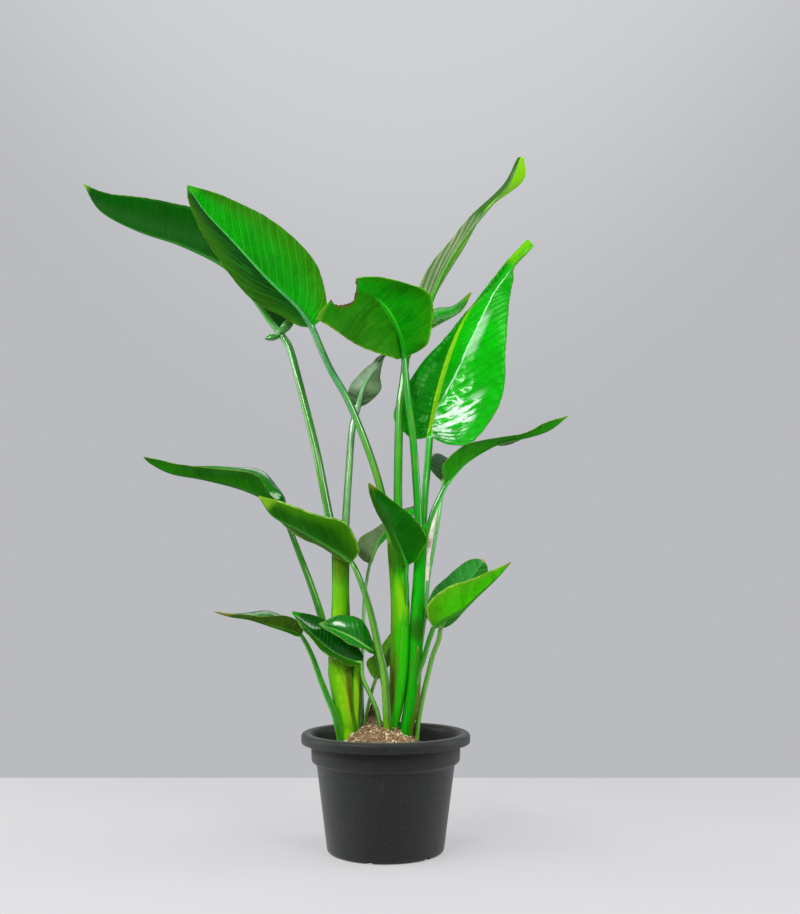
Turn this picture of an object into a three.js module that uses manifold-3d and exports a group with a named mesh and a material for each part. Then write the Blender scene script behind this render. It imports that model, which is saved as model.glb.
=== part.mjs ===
// Potted bird of paradise: a nursery pot, a mound of soil, three pseudostems and eighteen leaves.
// Millimetres, +Z up, origin at the centre of the pot's underside, front of the plant towards -Y.

import * as THREE from 'three';
import { mergeVertices } from 'three/addons/utils/BufferGeometryUtils.js';
import Module from 'manifold-3d';

const wasm = await Module();
wasm.setup();

// Pot
const POT_HEIGHT = 161;
const RIM_RADIUS = 119;
const RIM_DROP = 14;
const COLLAR_RADIUS = 104;
const COLLAR_BOTTOM = 121;
const BODY_TOP_RADIUS = 97;
const BODY_BOTTOM_RADIUS = 81;
const FOOT_ROUNDING = 5;
const POT_WALL = 2.5;
const POT_FLOOR = 3;
const POT_SIDES = 36;
const DRAIN_HOLES = 6;
const DRAIN_RADIUS = 5;
const DRAIN_RING_RADIUS = 77;
const DRAIN_NOTCH_HEIGHT = 4;

// Soil
const SOIL_LEVEL = 129;
const MOUND_RISE = 40;
const MOUND_SPREAD = 58;
const MOUND_CENTRE_X = -9;
const SOIL_LUMP = 1.6;
const SOIL_RINGS = 7;

// Fits between neighbouring pieces
const GAP = 0.35;

// Leaf blades
const BLADE_THICKNESS = 1.3;
const EDGE_THICKNESS = 0.9;
const BLADE_BASE_HALF_WIDTH = 3.2;
const BLADE_TIP_HALF_WIDTH = 1.3;
const RIB_HEIGHT_AT_BASE = 2.4;
const RIB_HEIGHT_AT_TIP = 0.5;
const HALF_CAMBER = 0.07;
const EDGE_WAVE = 1.6;
const EDGE_WAVES = 2.5;
const BASE_ROUNDING = 0.14;
const BASE_LENGTH = 0.045;
const STALK_SIDES = 7;
const STEM_SIDES = 12;

// Colours
const DEEP_GREEN = 0x1c5a12;
const MID_GREEN = 0x2f8a17;
const BRIGHT_GREEN = 0x3fae14;
const LIME_GREEN = 0x6fbf1a;
const SLATE = 0x33383a;
const PEAT = 0x7a5a3c;
const STRAW = 0xc9b48c;

// Leaves, one entry each.
// midrib runs from the base of the blade to its tip.
// left and right are the two edges between them, as seen on the underside with the tip up.
// stalk runs from the root of the leaf's stalk up to the base of its blade.
const LEAVES = {
  top_left_back: {
    midrib: [
      [-162, 58, 749], [-196, 74, 799], [-250, 86, 863], [-325, 96, 905], [-401, 104, 933], [-463, 109, 967],
      [-494, 112, 1013],
    ],
    left: [[-155, 104, 817], [-205, 128, 908], [-292, 138, 959], [-391, 134, 988], [-459, 124, 998]],
    right: [[-141, 70, 821], [-188, 73, 906], [-279, 82, 953], [-377, 92, 981], [-451, 102, 994]],
    stalk: [[-74, 4, 430], [-84, 8, 471], [-104, 20, 565], [-132, 38, 670], [-148, 52, 725], [-162, 58, 749]],
    stalkRadius: [6.8, 5.6],
    tipHalfWidth: 4.5,
    colour: DEEP_GREEN,
  },
  top_left_broad: {
    midrib: [
      [-110, -10, 744], [-130, -16, 772], [-173, -30, 811], [-219, -50, 858], [-260, -70, 899], [-283, -84, 932],
    ],
    left: [[-160, 12, 768], [-216, 22, 805], [-262, 2, 868], [-289, -36, 918]],
    right: [[-89, -4, 786], [-107, -10, 844], [-167, -26, 900], [-232, -54, 926]],
    stalk: [[8, 0, 424], [-6, -4, 496], [-26, -8, 561], [-56, -10, 634], [-84, -10, 684], [-110, -10, 744]],
    stalkRadius: [5.6, 4.9],
    colour: MID_GREEN,
  },
  centre_torn: {
    midrib: [[26, -14, 698], [17, -40, 729], [-1, -84, 753], [-26, -128, 761], [-56, -164, 747], [-86, -190, 713]],
    left: [[8, -28, 694], [-28, -66, 697], [-52, -108, 701], [-71, -152, 706]],
    right: [[63, -38, 720], [65, -72, 772], [23, -118, 779], [-39, -166, 769]],
    stalk: [[47, -6, 424], [45, -9, 488], [39, -12, 575], [32, -14, 634], [28, -14, 675], [26, -14, 698]],
    stalkRadius: [5.8, 4.8],
    colour: MID_GREEN,
    tipHalfWidth: 6,
    bite: { x: -68, z: 764, radius: 29 },
  },
  top_right_slim: {
    midrib: [
      [29, 10, 702], [56, 10, 763], [86, 4, 832], [120, -8, 884], [155, -24, 924], [180, -40, 950], [197, -52, 988],
    ],
    left: [[38, 38, 792], [69, 46, 860], [103, 38, 901], [134, 20, 930], [176, -8, 966]],
    right: [[66, 42, 790], [91, 46, 836], [118, 36, 883], [151, 16, 930], [203, -16, 966]],
    stalk: [[20, 2, 424], [17, 2, 489], [18, 4, 577], [20, 6, 630], [24, 8, 660], [29, 10, 702]],
    stalkRadius: [6.6, 5.6],
    tipHalfWidth: 4.5,
    colour: BRIGHT_GREEN,
  },
  centre_twisted: {
    midrib: [
      [-43, 22, 630], [-34, 26, 661], [-18, 32, 688], [-1, 42, 717], [68, 55, 770], [107, 62, 788], [131, 66, 819],
    ],
    left: [[-57, 40, 662], [-30, 50, 697], [1, 15, 712], [78, 45, 762], [114, 58, 785]],
    right: [[-9, 42, 660], [-9, 52, 686], [1, 75, 728], [64, 70, 787], [102, 68, 798]],
    stalk: [[-60, 2, 424], [-58, 6, 475], [-55, 12, 534], [-51, 18, 595], [-43, 22, 630]],
    stalkRadius: [5.8, 4.8],
    colour: MID_GREEN,
  },
  right_glossy: {
    midrib: [
      [64, 12, 582], [69, 13, 606], [79, 14, 657], [98, 14, 719], [122, 13, 771], [155, 12, 807], [183, 10, 845],
      [203, 8, 862], [217, 6, 879],
    ],
    left: [
      [129, -15, 575], [168, -18, 636], [176, -14, 716], [183, -4, 786], [189, 2, 820], [191, 6, 838], [207, 4, 856],
    ],
    right: [
      [28, 24, 590], [11, 26, 622], [50, 24, 693], [96, 20, 745], [145, 16, 805], [180, 12, 850], [198, 9, 870],
    ],
    stalk: [[52, 6, 424], [56, 7, 489], [60, 10, 534], [64, 12, 582]],
    stalkRadius: [5.2, 5],
    tipHalfWidth: 8,
    colour: BRIGHT_GREEN,
  },
  right_slim: {
    midrib: [
      [87, 2, 512], [96, 8, 526], [122, 16, 551], [169, 26, 577], [212, 36, 587], [246, 44, 599], [275, 50, 621],
    ],
    left: [[84, -6, 542], [112, -6, 567], [167, 6, 581], [209, 20, 593], [242, 32, 609]],
    right: [[106, 30, 556], [134, 44, 580], [176, 50, 577], [214, 54, 589], [245, 56, 604]],
    stalk: [[56, 0, 402], [61, -1, 446], [68, 0, 472], [79, 1, 496], [87, 2, 512]],
    stalkRadius: [4.4, 3.8],
    colour: MID_GREEN,
  },
  right_rear: {
    midrib: [[84, 30, 520], [90, 60, 534], [98, 100, 548], [108, 145, 558], [117, 190, 562]],
    left: [[108, 55, 548], [126, 95, 564], [126, 145, 566]],
    right: [[65, 58, 546], [71, 100, 570], [89, 145, 572]],
    stalk: [[50, 4, 280], [57, 9, 330], [61, 13, 375], [69, 18, 420], [77, 24, 465], [84, 30, 520]],
    stalkRadius: [2.9, 2.6],
    colour: DEEP_GREEN,
  },
  mid_left_long: {
    midrib: [
      [-149, 8, 478], [-166, 2, 488], [-207, -10, 505], [-259, -24, 517], [-304, -36, 524], [-331, -44, 536],
      [-342, -50, 545],
    ],
    left: [[-156, 25, 504], [-183, 34, 534], [-223, 26, 538], [-293, -8, 534], [-327, -34, 542]],
    right: [[-167, -12, 496], [-188, -32, 522], [-243, -44, 531], [-291, -48, 534], [-322, -52, 542]],
    stalk: [
      [-74, 2, 262], [-87, 2, 300], [-95, 2, 329], [-108, 4, 366], [-125, 6, 409], [-145, 8, 460], [-149, 8, 478],
    ],
    stalkRadius: [6.4, 3.6],
    tipHalfWidth: 2.6,
    colour: MID_GREEN,
  },
  mid_left_folded: {
    midrib: [[-48, -34, 398], [-60, -38, 407], [-85, -44, 422], [-121, -50, 442], [-158, -50, 462], [-179, -46, 490]],
    left: [[-60, -15, 400], [-88, -5, 416], [-125, -8, 436], [-161, -25, 465]],
    right: [[-38, -36, 419], [-56, -42, 453], [-95, -46, 464], [-142, -48, 481]],
    stalk: [
      [6, -15, 130], [2, -20, 186], [-2, -26, 243], [-11, -32, 284], [-18, -36, 316], [-28, -38, 352],
      [-40, -37, 383], [-48, -34, 398],
    ],
    stalkRadius: [6.6, 3.5],
    colour: MID_GREEN,
  },
  centre_dark: {
    midrib: [[30, -26, 394], [24, -34, 410], [14, -46, 434], [2, -58, 460], [-11, -66, 483], [-23, -72, 506]],
    left: [[20, -22, 406], [4, -20, 434], [-10, -30, 465], [-22, -54, 488]],
    right: [[50, -24, 413], [58, -26, 432], [37, -38, 463], [5, -58, 487]],
    stalk: [[29, -4, 331], [30, -12, 359], [29, -20, 376], [30, -26, 394]],
    stalkRadius: [3.2, 2.8],
    colour: DEEP_GREEN,
  },
  centre_rear: {
    midrib: [[-24, 22, 398], [-18, 28, 416], [-8, 38, 437], [11, 55, 462], [28, 72, 477], [45, 85, 487]],
    left: [[-42, 24, 414], [-39, 38, 437], [-10, 58, 455], [17, 76, 479]],
    right: [[-17, 36, 411], [-4, 50, 432], [15, 66, 454], [37, 80, 468]],
    stalk: [
      [-34, 24, 130], [-34, 24, 182], [-35, 24, 226], [-34, 24, 280], [-32, 24, 345], [-28, 23, 377], [-24, 22, 398],
    ],
    stalkRadius: [2.8, 2.3],
    colour: DEEP_GREEN,
  },
  low_right_folded: {
    midrib: [[68, -6, 307], [81, -10, 317], [108, -18, 332], [130, -26, 352], [155, -34, 375], [176, -40, 398]],
    left: [[60, -20, 341], [86, -34, 362], [118, -40, 374], [146, -42, 385]],
    right: [[85, 14, 333], [111, 16, 351], [135, 6, 366], [158, -14, 383]],
    stalk: [[39, -4, 205], [45, -8, 239], [53, -8, 261], [60, -7, 285], [68, -6, 307]],
    stalkRadius: [4.1, 3.6],
    colour: LIME_GREEN,
  },
  low_right_rear: {
    midrib: [[79, 22, 305], [89, 30, 320], [104, 44, 345], [120, 58, 370], [136, 70, 389], [148, 80, 405]],
    left: [[58, 34, 326], [69, 54, 359], [95, 70, 382], [125, 80, 405]],
    right: [[105, 44, 317], [126, 58, 339], [143, 72, 362], [153, 80, 386]],
    stalk: [
      [42, 8, 128], [45, 9, 168], [50, 11, 196], [55, 13, 219], [61, 15, 242], [67, 17, 265], [76, 20, 288],
      [79, 22, 305],
    ],
    stalkRadius: [3.9, 3.4],
    colour: DEEP_GREEN,
  },
  low_left_long: {
    midrib: [[-121, -6, 296], [-136, -14, 302], [-161, -26, 310], [-189, -38, 319], [-215, -50, 323], [-237, -60, 330]],
    left: [[-130, 10, 314], [-164, 8, 327], [-191, -8, 329], [-212, -36, 326]],
    right: [[-119, -24, 312], [-143, -40, 324], [-177, -48, 323], [-206, -54, 326]],
    stalk: [
      [-58, -7, 128], [-70, -8, 181], [-84, -10, 215], [-93, -10, 237], [-102, -9, 261], [-112, -7, 282],
      [-121, -6, 296],
    ],
    stalkRadius: [5.8, 3.2],
    colour: DEEP_GREEN,
  },
  low_left_dark: {
    midrib: [[-35, -18, 258], [-52, -24, 263], [-73, -31, 273], [-94, -36, 290], [-113, -40, 309], [-130, -42, 329]],
    left: [[-34, -18, 272], [-50, -20, 296], [-76, -21, 314], [-103, -27, 324]],
    right: [[-53, -34, 255], [-76, -40, 267], [-97, -44, 285], [-115, -44, 305]],
    stalk: [[-4, -8, 130], [-10, -9, 181], [-21, -10, 211], [-32, -14, 235], [-35, -18, 258]],
    stalkRadius: [3.5, 2.8],
    colour: DEEP_GREEN,
  },
  low_left_bright: {
    midrib: [[-15, -23, 272], [-25, -33, 279], [-47, -46, 294], [-68, -54, 304], [-91, -58, 313]],
    left: [[-18, -21, 289], [-35, -33, 318], [-62, -44, 325]],
    right: [[-27, -40, 275], [-49, -56, 286], [-72, -61, 299]],
    stalk: [[7, -4, 160], [1, -7, 195], [-5, -13, 234], [-15, -23, 272]],
    stalkRadius: [3.5, 3],
    colour: MID_GREEN,
  },
  low_rear_small: {
    midrib: [[-15, 26, 232], [-9, 34, 247], [1, 48, 269], [13, 66, 291], [25, 84, 314]],
    left: [[-28, 40, 256], [-11, 55, 271], [5, 70, 294]],
    right: [[2, 45, 246], [19, 60, 262], [28, 78, 285]],
    stalk: [[-30, 14, 130], [-29, 15, 175], [-22, 20, 209], [-15, 26, 232]],
    stalkRadius: [2.8, 2.4],
    colour: DEEP_GREEN,
  },
};

// Pseudostems, one entry each: rings from the bottom up as [height, x, y, half width, half depth].
const STEMS = {
  left: [
    [[122, -50, 0, 11, 9], [165, -52, 0, 13, 10.5], [200, -59, 0, 14.5, 11.5], [253, -65, 0, 17, 12.5],
      [300, -65, 0, 14.5, 11.5], [360, -65.5, 0, 12.5, 11], [425, -66, 2, 13, 11], [446, -67, 3, 11, 8]],
    [[122, -42, 2, 6, 6], [170, -43, 2, 7, 7], [250, -41, 2, 7.5, 8], [272, -42, 2, 5, 6]],
  ],
  middle: [
    [[122, 8, 2, 8, 9], [165, 8, 2, 9, 10.5], [195, 14, 2, 9.5, 11], [242, 18, 2, 12.5, 11.5],
      [323, 20.5, 1, 13.5, 11], [369, 18.5, 1, 13, 10.5], [416, 14.5, 1, 12.5, 9.5], [438, 13.5, 1, 11, 7.5]],
  ],
  right: [
    [[122, 26, -2, 7, 8], [165, 29, -2, 9, 9.5], [195, 35.5, -1, 10.5, 10], [242, 40.5, 0, 9.6, 10],
      [323, 44.5, 0, 10, 10], [392, 48, 0, 8.5, 10], [430, 51.5, 0, 11.5, 10.5], [456, 53, 0, 11, 9.5]],
  ],
};

// Dried leaf sheath that stands between the stalks on the right
const DRY_SHEATH = [[59, -8, 372], [60, -8, 400], [62, -7, 425], [67, -7, 450], [74, -6, 474]];
const DRY_SHEATH_HALF_WIDTHS = [2, 3, 4, 3.4, 0.8];
const DRY_SHEATH_THICKNESS = 1;

const vector = ([x, y, z]) => new THREE.Vector3(x, y, z);

function curveThrough(points) {
  return new THREE.CatmullRomCurve3(points, false, 'catmullrom', 0.5);
}

// Closed surface from rows of points that all have the same length: rows are rings, with flat ends.
function loftRings(rings) {
  const sides = rings[0].length;
  const positions = [];
  const faces = [];
  rings.forEach((ring) => ring.forEach((p) => positions.push(p.x, p.y, p.z)));
  for (let i = 0; i < rings.length - 1; i += 1) {
    for (let j = 0; j < sides; j += 1) {
      const a = i * sides + j;
      const b = i * sides + ((j + 1) % sides);
      faces.push(a, b, b + sides, a, b + sides, a + sides);
    }
  }
  const last = (rings.length - 1) * sides;
  for (let j = 1; j < sides - 1; j += 1) {
    faces.push(0, j + 1, j);
    faces.push(last, last + j, last + j + 1);
  }
  return asSolid(positions, faces);
}

function asSolid(positions, faces) {
  const solid = new wasm.Manifold(new wasm.Mesh({
    numProp: 3,
    vertProperties: new Float32Array(positions),
    triVerts: new Uint32Array(faces),
  }));
  if (solid.volume() >= 0) return solid;
  const turned = [];
  for (let i = 0; i < faces.length; i += 3) turned.push(faces[i], faces[i + 2], faces[i + 1]);
  return asSolid(positions, turned);
}

function solidFromGeometry(geometry) {
  const bare = geometry.clone();
  bare.deleteAttribute('normal');
  bare.deleteAttribute('uv');
  const merged = mergeVertices(bare, 1e-4);
  return asSolid([...merged.attributes.position.array], [...merged.index.array]);
}

// Round stalk along a smooth path, with a radius that changes evenly from root to top.
// grow makes it that much thicker and longer at the root, which is the shape of its socket.
function stalkSolid({ stalk, stalkRadius }, grow = 0) {
  const path = curveThrough(stalk.map(vector));
  const steps = Math.round((stalk.length - 1) * 1.5);
  const top = path.getPoint(1).sub(path.getPoint(1 - 0.25 / (stalk.length - 1)));
  const rings = [];
  let side = new THREE.Vector3(1, 0, 0);
  for (let i = 0; i <= steps; i += 1) {
    const t = i / steps;
    const along = i === steps ? top.normalize() : path.getTangent(t);
    side = side.clone().addScaledVector(along, -side.dot(along)).normalize();
    const other = along.clone().cross(side);
    const centre = path.getPoint(t);
    if (i === 0) centre.addScaledVector(along, -grow);
    const radius = THREE.MathUtils.lerp(stalkRadius[0], stalkRadius[1], t) + grow;
    rings.push(ringAround(centre, side, other, radius, radius, STALK_SIDES));
  }
  return loftRings(rings);
}

function ringAround(centre, side, other, sideRadius, otherRadius, count) {
  const ring = [];
  for (let j = 0; j < count; j += 1) {
    const angle = (2 * Math.PI * j) / count;
    ring.push(centre.clone()
      .addScaledVector(side, sideRadius * Math.cos(angle))
      .addScaledVector(other, otherRadius * Math.sin(angle)));
  }
  return ring;
}

// Edge of a blade from the base of its midrib to its tip.
// The half beside the base is rounded off: its second point lies a little below the base of the blade.
function edgeCurve(leaf, edge, towards) {
  const midrib = leaf.midrib.map(vector);
  const inner = leaf[edge].map(vector);
  const across = (k) => vector(leaf.right[k]).sub(vector(leaf.left[k])).normalize().multiplyScalar(towards);
  const first = midrib[0].clone().addScaledVector(across(0), BLADE_BASE_HALF_WIDTH);
  const tipHalfWidth = leaf.tipHalfWidth ?? BLADE_TIP_HALF_WIDTH;
  const last = midrib.at(-1).clone().addScaledVector(across(inner.length - 1), tipHalfWidth);
  const along = midrib[1].clone().sub(midrib[0]).normalize();
  const span = inner[0].distanceTo(first);
  const rounded = first.clone().lerp(inner[0], 0.5).addScaledVector(along, -BASE_ROUNDING * span);
  return curveThrough([first, rounded, ...inner, last]);
}

// Place on an edge curve that belongs to t on the midrib: the rounded base takes up the first bit of t.
function edgePoint(edge, t) {
  const spans = edge.points.length - 1;
  const base = (1 - Math.exp(-t / BASE_LENGTH)) / (1 - Math.exp(-1 / BASE_LENGTH));
  return edge.getPoint(((spans - 1) * t + base) / spans);
}

// Middle surface of a blade at t along the midrib and s across it, from -1 on the left edge to 1 on the right.
function bladePoint(curves, t, s) {
  const centre = curves.midrib.getPoint(t);
  const edge = edgePoint(s < 0 ? curves.left : curves.right, t);
  const half = edge.clone().sub(centre);
  const outward = s < 0 ? half.clone().negate() : half;
  const along = curves.midrib.getTangent(t);
  const upper = along.cross(outward).normalize();
  const share = Math.abs(s);
  const camber = HALF_CAMBER * half.length() * 4 * share * (1 - share);
  const fade = Math.sin(Math.PI * t);
  const wave = EDGE_WAVE * fade * share * share * Math.sin(2 * Math.PI * EDGE_WAVES * t + (s < 0 ? 1 : 3.2));
  return centre.addScaledVector(half, share).addScaledVector(upper, camber + wave);
}

function bladeSolid(leaf) {
  const curves = {
    midrib: curveThrough(leaf.midrib.map(vector)),
    left: edgeCurve(leaf, 'left', -1),
    right: edgeCurve(leaf, 'right', 1),
  };
  const even = (leaf.midrib.length - 1) * 2;
  const places = [0, 0.35 / even];
  for (let i = 1; i <= even; i += 1) places.push(i / even);
  const rows = places.length - 1;
  const shares = [-1, -0.58, -0.14, 0, 0.14, 0.58, 1];
  const middle = places.map((t) => shares.map((s) => bladePoint(curves, t, s)));
  const upper = [];
  const under = [];
  // The underside stands out along the middle, where the stalk runs on as the midrib.
  for (let i = 0; i <= rows; i += 1) {
    const rib = THREE.MathUtils.lerp(RIB_HEIGHT_AT_BASE, RIB_HEIGHT_AT_TIP, places[i]);
    upper.push([]);
    under.push([]);
    shares.forEach((s, j) => {
      const ahead = middle[Math.min(i + 1, rows)][j].clone().sub(middle[Math.max(i - 1, 0)][j]);
      const beside = middle[i][Math.min(j + 1, shares.length - 1)].clone().sub(middle[i][Math.max(j - 1, 0)]);
      const normal = ahead.cross(beside).normalize();
      const half = THREE.MathUtils.lerp(BLADE_THICKNESS, EDGE_THICKNESS, Math.abs(s)) / 2;
      upper[i].push(middle[i][j].clone().addScaledVector(normal, half));
      under[i].push(middle[i][j].clone().addScaledVector(normal, -half - (s === 0 ? rib : 0)));
    });
  }
  const rings = upper.map((row, i) => [...row, ...under[i].slice().reverse()]);
  return loftSheet(rings, shares.length);
}

// Closed surface of a thin sheet whose rings go out over one face and back under the other.
// Both faces are split into triangles alike.
function loftSheet(rings, count) {
  const sides = 2 * count;
  const positions = [];
  const faces = [];
  rings.forEach((ring) => ring.forEach((p) => positions.push(p.x, p.y, p.z)));
  for (let i = 0; i < rings.length - 1; i += 1) {
    for (let j = 0; j < sides; j += 1) {
      const a = i * sides + j;
      const b = i * sides + ((j + 1) % sides);
      if (j < count) faces.push(a, b, b + sides, a, b + sides, a + sides);
      else faces.push(a, b, a + sides, b, b + sides, a + sides);
    }
  }
  const last = (rings.length - 1) * sides;
  for (let j = 0; j < count - 1; j += 1) {
    const k = sides - 1 - j;
    faces.push(j, k, j + 1, j + 1, k, k - 1);
    faces.push(last + j, last + j + 1, last + k, last + j + 1, last + k - 1, last + k);
  }
  return asSolid(positions, faces);
}

function leafSolid(leaf) {
  let solid = bladeSolid(leaf).add(stalkSolid(leaf));
  if (leaf.bite) {
    const tool = new THREE.CylinderGeometry(leaf.bite.radius, leaf.bite.radius, 400, 20);
    tool.translate(leaf.bite.x, 0, leaf.bite.z);
    solid = solid.subtract(solidFromGeometry(tool));
  }
  return solid;
}

function stemSolid(layers, grow = 0) {
  return layers.map((rows) => loftRings(rows.map(([z, x, y, width, depth], i) => {
    const centre = vector([x, y, i === 0 ? z - grow : z]);
    return ringAround(centre, vector([1, 0, 0]), vector([0, 1, 0]), width + grow, depth + grow, STEM_SIDES);
  }))).reduce((whole, layer) => whole.add(layer));
}

function potSolid() {
  const rimTop = POT_HEIGHT;
  const skirt = rimTop - RIM_DROP;
  const profile = [
    [0, 0],
    [BODY_BOTTOM_RADIUS - FOOT_ROUNDING, 0],
    [BODY_BOTTOM_RADIUS - FOOT_ROUNDING * 0.3, FOOT_ROUNDING * 0.3],
    [BODY_BOTTOM_RADIUS, FOOT_ROUNDING],
    [BODY_TOP_RADIUS, COLLAR_BOTTOM - 3],
    [COLLAR_RADIUS, COLLAR_BOTTOM + 1],
    [COLLAR_RADIUS + 1.5, rimTop - POT_WALL - 1],
    [RIM_RADIUS - POT_WALL, rimTop - POT_WALL - 1],
    [RIM_RADIUS - POT_WALL, skirt],
    [RIM_RADIUS - 0.4, skirt],
    [RIM_RADIUS, rimTop - 4],
    [RIM_RADIUS - 2.2, rimTop - 1],
    [RIM_RADIUS - 6, rimTop],
    [COLLAR_RADIUS + 3, rimTop],
    [COLLAR_RADIUS - 1.5, rimTop - 5],
    [COLLAR_RADIUS - POT_WALL, COLLAR_BOTTOM + 3],
    [BODY_TOP_RADIUS - POT_WALL, COLLAR_BOTTOM - 2],
    [BODY_BOTTOM_RADIUS - POT_WALL, FOOT_ROUNDING + 3],
    [BODY_BOTTOM_RADIUS - FOOT_ROUNDING - 1, POT_FLOOR],
    [0, POT_FLOOR],
  ].map(([r, z]) => new THREE.Vector2(r, z));
  let solid = turnedSolid(profile, POT_SIDES);
  for (let i = 0; i < DRAIN_HOLES; i += 1) {
    const angle = (2 * Math.PI * (i + 0.25)) / DRAIN_HOLES;
    const drill = new THREE.CylinderGeometry(DRAIN_RADIUS, DRAIN_RADIUS, 2 * DRAIN_NOTCH_HEIGHT, 8);
    drill.rotateX(Math.PI / 2);
    drill.translate(DRAIN_RING_RADIUS * Math.cos(angle), DRAIN_RING_RADIUS * Math.sin(angle), 0);
    solid = solid.subtract(solidFromGeometry(drill));
  }
  return solid;
}

function turnedSolid(profile, sides) {
  const lathe = new THREE.LatheGeometry(profile, sides);
  lathe.rotateX(Math.PI / 2);
  return solidFromGeometry(lathe);
}

function soilHeight(x, y) {
  const reach = Math.hypot(x - MOUND_CENTRE_X, y) / MOUND_SPREAD;
  const lumps = Math.sin(x * 0.31 + 1.3) * Math.cos(y * 0.27) + 0.6 * Math.sin(x * 0.13 - y * 0.55);
  return SOIL_LEVEL + MOUND_RISE * Math.exp(-(reach ** 3)) + SOIL_LUMP * lumps;
}

// Soil fills the pot from its floor to the mound, just clear of the wall.
function soilSolid() {
  const clear = POT_WALL + GAP;
  const ring = (radius, height) => {
    const points = [];
    for (let j = 0; j < POT_SIDES; j += 1) {
      const angle = (2 * Math.PI * j) / POT_SIDES;
      const x = radius * Math.cos(angle);
      const y = radius * Math.sin(angle);
      points.push(vector([x, y, height ?? soilHeight(x, y)]));
    }
    return points;
  };
  const collarInside = COLLAR_RADIUS - clear;
  const rings = [
    ring(BODY_BOTTOM_RADIUS - FOOT_ROUNDING - 1 - GAP, POT_FLOOR + GAP),
    ring(BODY_BOTTOM_RADIUS - clear, FOOT_ROUNDING + 3.2),
    ring(BODY_TOP_RADIUS - clear, COLLAR_BOTTOM - 1.8),
    ring(collarInside, COLLAR_BOTTOM + 3.2),
  ];
  for (let i = 0; i < SOIL_RINGS; i += 1) {
    rings.push(ring(collarInside * (1 - i / SOIL_RINGS)));
  }
  return loftRings(rings);
}

function drySheathSolid(grow = 0) {
  const path = curveThrough(DRY_SHEATH.map(vector));
  const steps = DRY_SHEATH.length - 1;
  const rings = [];
  for (let i = 0; i <= steps; i += 1) {
    const along = path.getTangent(i / steps);
    const side = vector([1, 0, 0]).addScaledVector(along, -along.x).normalize();
    const thin = along.clone().cross(side);
    const centre = path.getPoint(i / steps);
    if (i === 0) centre.addScaledVector(along, -grow);
    const width = DRY_SHEATH_HALF_WIDTHS[i] + grow;
    rings.push(ringAround(centre, side, thin, width, DRY_SHEATH_THICKNESS / 2 + grow, 8));
  }
  return loftRings(rings);
}

const plant = new THREE.Group();

function addPiece(name, solid, colour, roughness) {
  const { vertProperties, triVerts } = solid.getMesh();
  const geometry = new THREE.BufferGeometry();
  geometry.setAttribute('position', new THREE.BufferAttribute(vertProperties, 3));
  geometry.setIndex(new THREE.BufferAttribute(triVerts, 1));
  geometry.computeVertexNormals();
  const material = new THREE.MeshStandardMaterial({ color: colour, roughness, metalness: 0 });
  const mesh = new THREE.Mesh(geometry, material);
  mesh.name = name;
  plant.add(mesh);
}

const leafSolids = Object.entries(LEAVES).map(([name, leaf]) => [name, leafSolid(leaf), leaf.colour]);
const sockets = [...Object.values(LEAVES).map((leaf) => stalkSolid(leaf, GAP)), drySheathSolid(GAP)];
const cutSockets = (solid) => sockets.reduce((rest, socket) => rest.subtract(socket), solid);

addPiece('pot', potSolid(), SLATE, 0.55);

let soil = cutSockets(soilSolid());
Object.entries(STEMS).forEach(([name, layers]) => {
  soil = soil.subtract(stemSolid(layers, GAP));
  addPiece(`stem_${name}`, cutSockets(stemSolid(layers)), LIME_GREEN, 0.5);
});
addPiece('soil', soil, PEAT, 0.95);
addPiece('dry_sheath', drySheathSolid(), STRAW, 0.8);

leafSolids.forEach(([name, solid, colour]) => addPiece(`leaf_${name}`, solid, colour, 0.35));

export default plant;
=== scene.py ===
"""Potted bird of paradise: a nursery pot of bark soil, three pseudostems and eighteen leaves.
Metres, +Z up, the origin at the centre of the pot's underside, the front of the plant towards -Y."""

import math
import random

import bmesh
import bpy
from mathutils import Matrix, Vector, noise


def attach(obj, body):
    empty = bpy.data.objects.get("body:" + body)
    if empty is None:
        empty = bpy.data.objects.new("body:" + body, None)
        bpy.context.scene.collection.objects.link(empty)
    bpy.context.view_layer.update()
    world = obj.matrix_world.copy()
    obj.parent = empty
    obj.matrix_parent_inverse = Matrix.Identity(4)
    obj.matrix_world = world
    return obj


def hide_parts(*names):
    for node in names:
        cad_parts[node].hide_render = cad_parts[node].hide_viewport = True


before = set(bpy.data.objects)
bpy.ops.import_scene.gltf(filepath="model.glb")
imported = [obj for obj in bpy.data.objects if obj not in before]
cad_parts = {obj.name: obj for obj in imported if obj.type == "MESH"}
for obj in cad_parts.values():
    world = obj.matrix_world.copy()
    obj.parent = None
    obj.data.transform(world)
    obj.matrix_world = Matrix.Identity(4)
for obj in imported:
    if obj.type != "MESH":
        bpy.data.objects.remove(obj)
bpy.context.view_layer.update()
bpy.context.scene.view_settings.view_transform = "Standard"

# Pot
# A round nursery pot moulded in one go from dark recycled plastic, with a rolled rim, a collar
# under it, a tapered body with faint mould rings, and drain notches in the foot.

MM = 0.001
POT_HEIGHT = 161 * MM
RIM_RADIUS = 119 * MM
RIM_DROP = 14 * MM
COLLAR_RADIUS = 104 * MM
COLLAR_BOTTOM = 121 * MM
BODY_TOP_RADIUS = 97 * MM
BODY_BOTTOM_RADIUS = 81 * MM
FOOT_ROUNDING = 5 * MM
POT_WALL = 2.5 * MM
POT_FLOOR = 3 * MM
POT_STEPS = 144
ROUNDING_STEPS = 5
DRAIN_HOLES = 6
DRAIN_RADIUS = 5 * MM
DRAIN_RING_RADIUS = 77 * MM
DRAIN_BORE_LENGTH = 8 * MM
MOULD_RING_HEIGHTS = (37, 49, 70, 79.5)
PLASTIC_DARK = (0.002, 0.003, 0.002)
PLASTIC_LIGHT = (0.006, 0.007, 0.006)
PLASTIC_GRAIN = (0.022, 0.025, 0.021)
GROOVE_SHADE = (0.0005, 0.0006, 0.0005)
SCUFF_GREY = (0.05, 0.054, 0.05)
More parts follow.
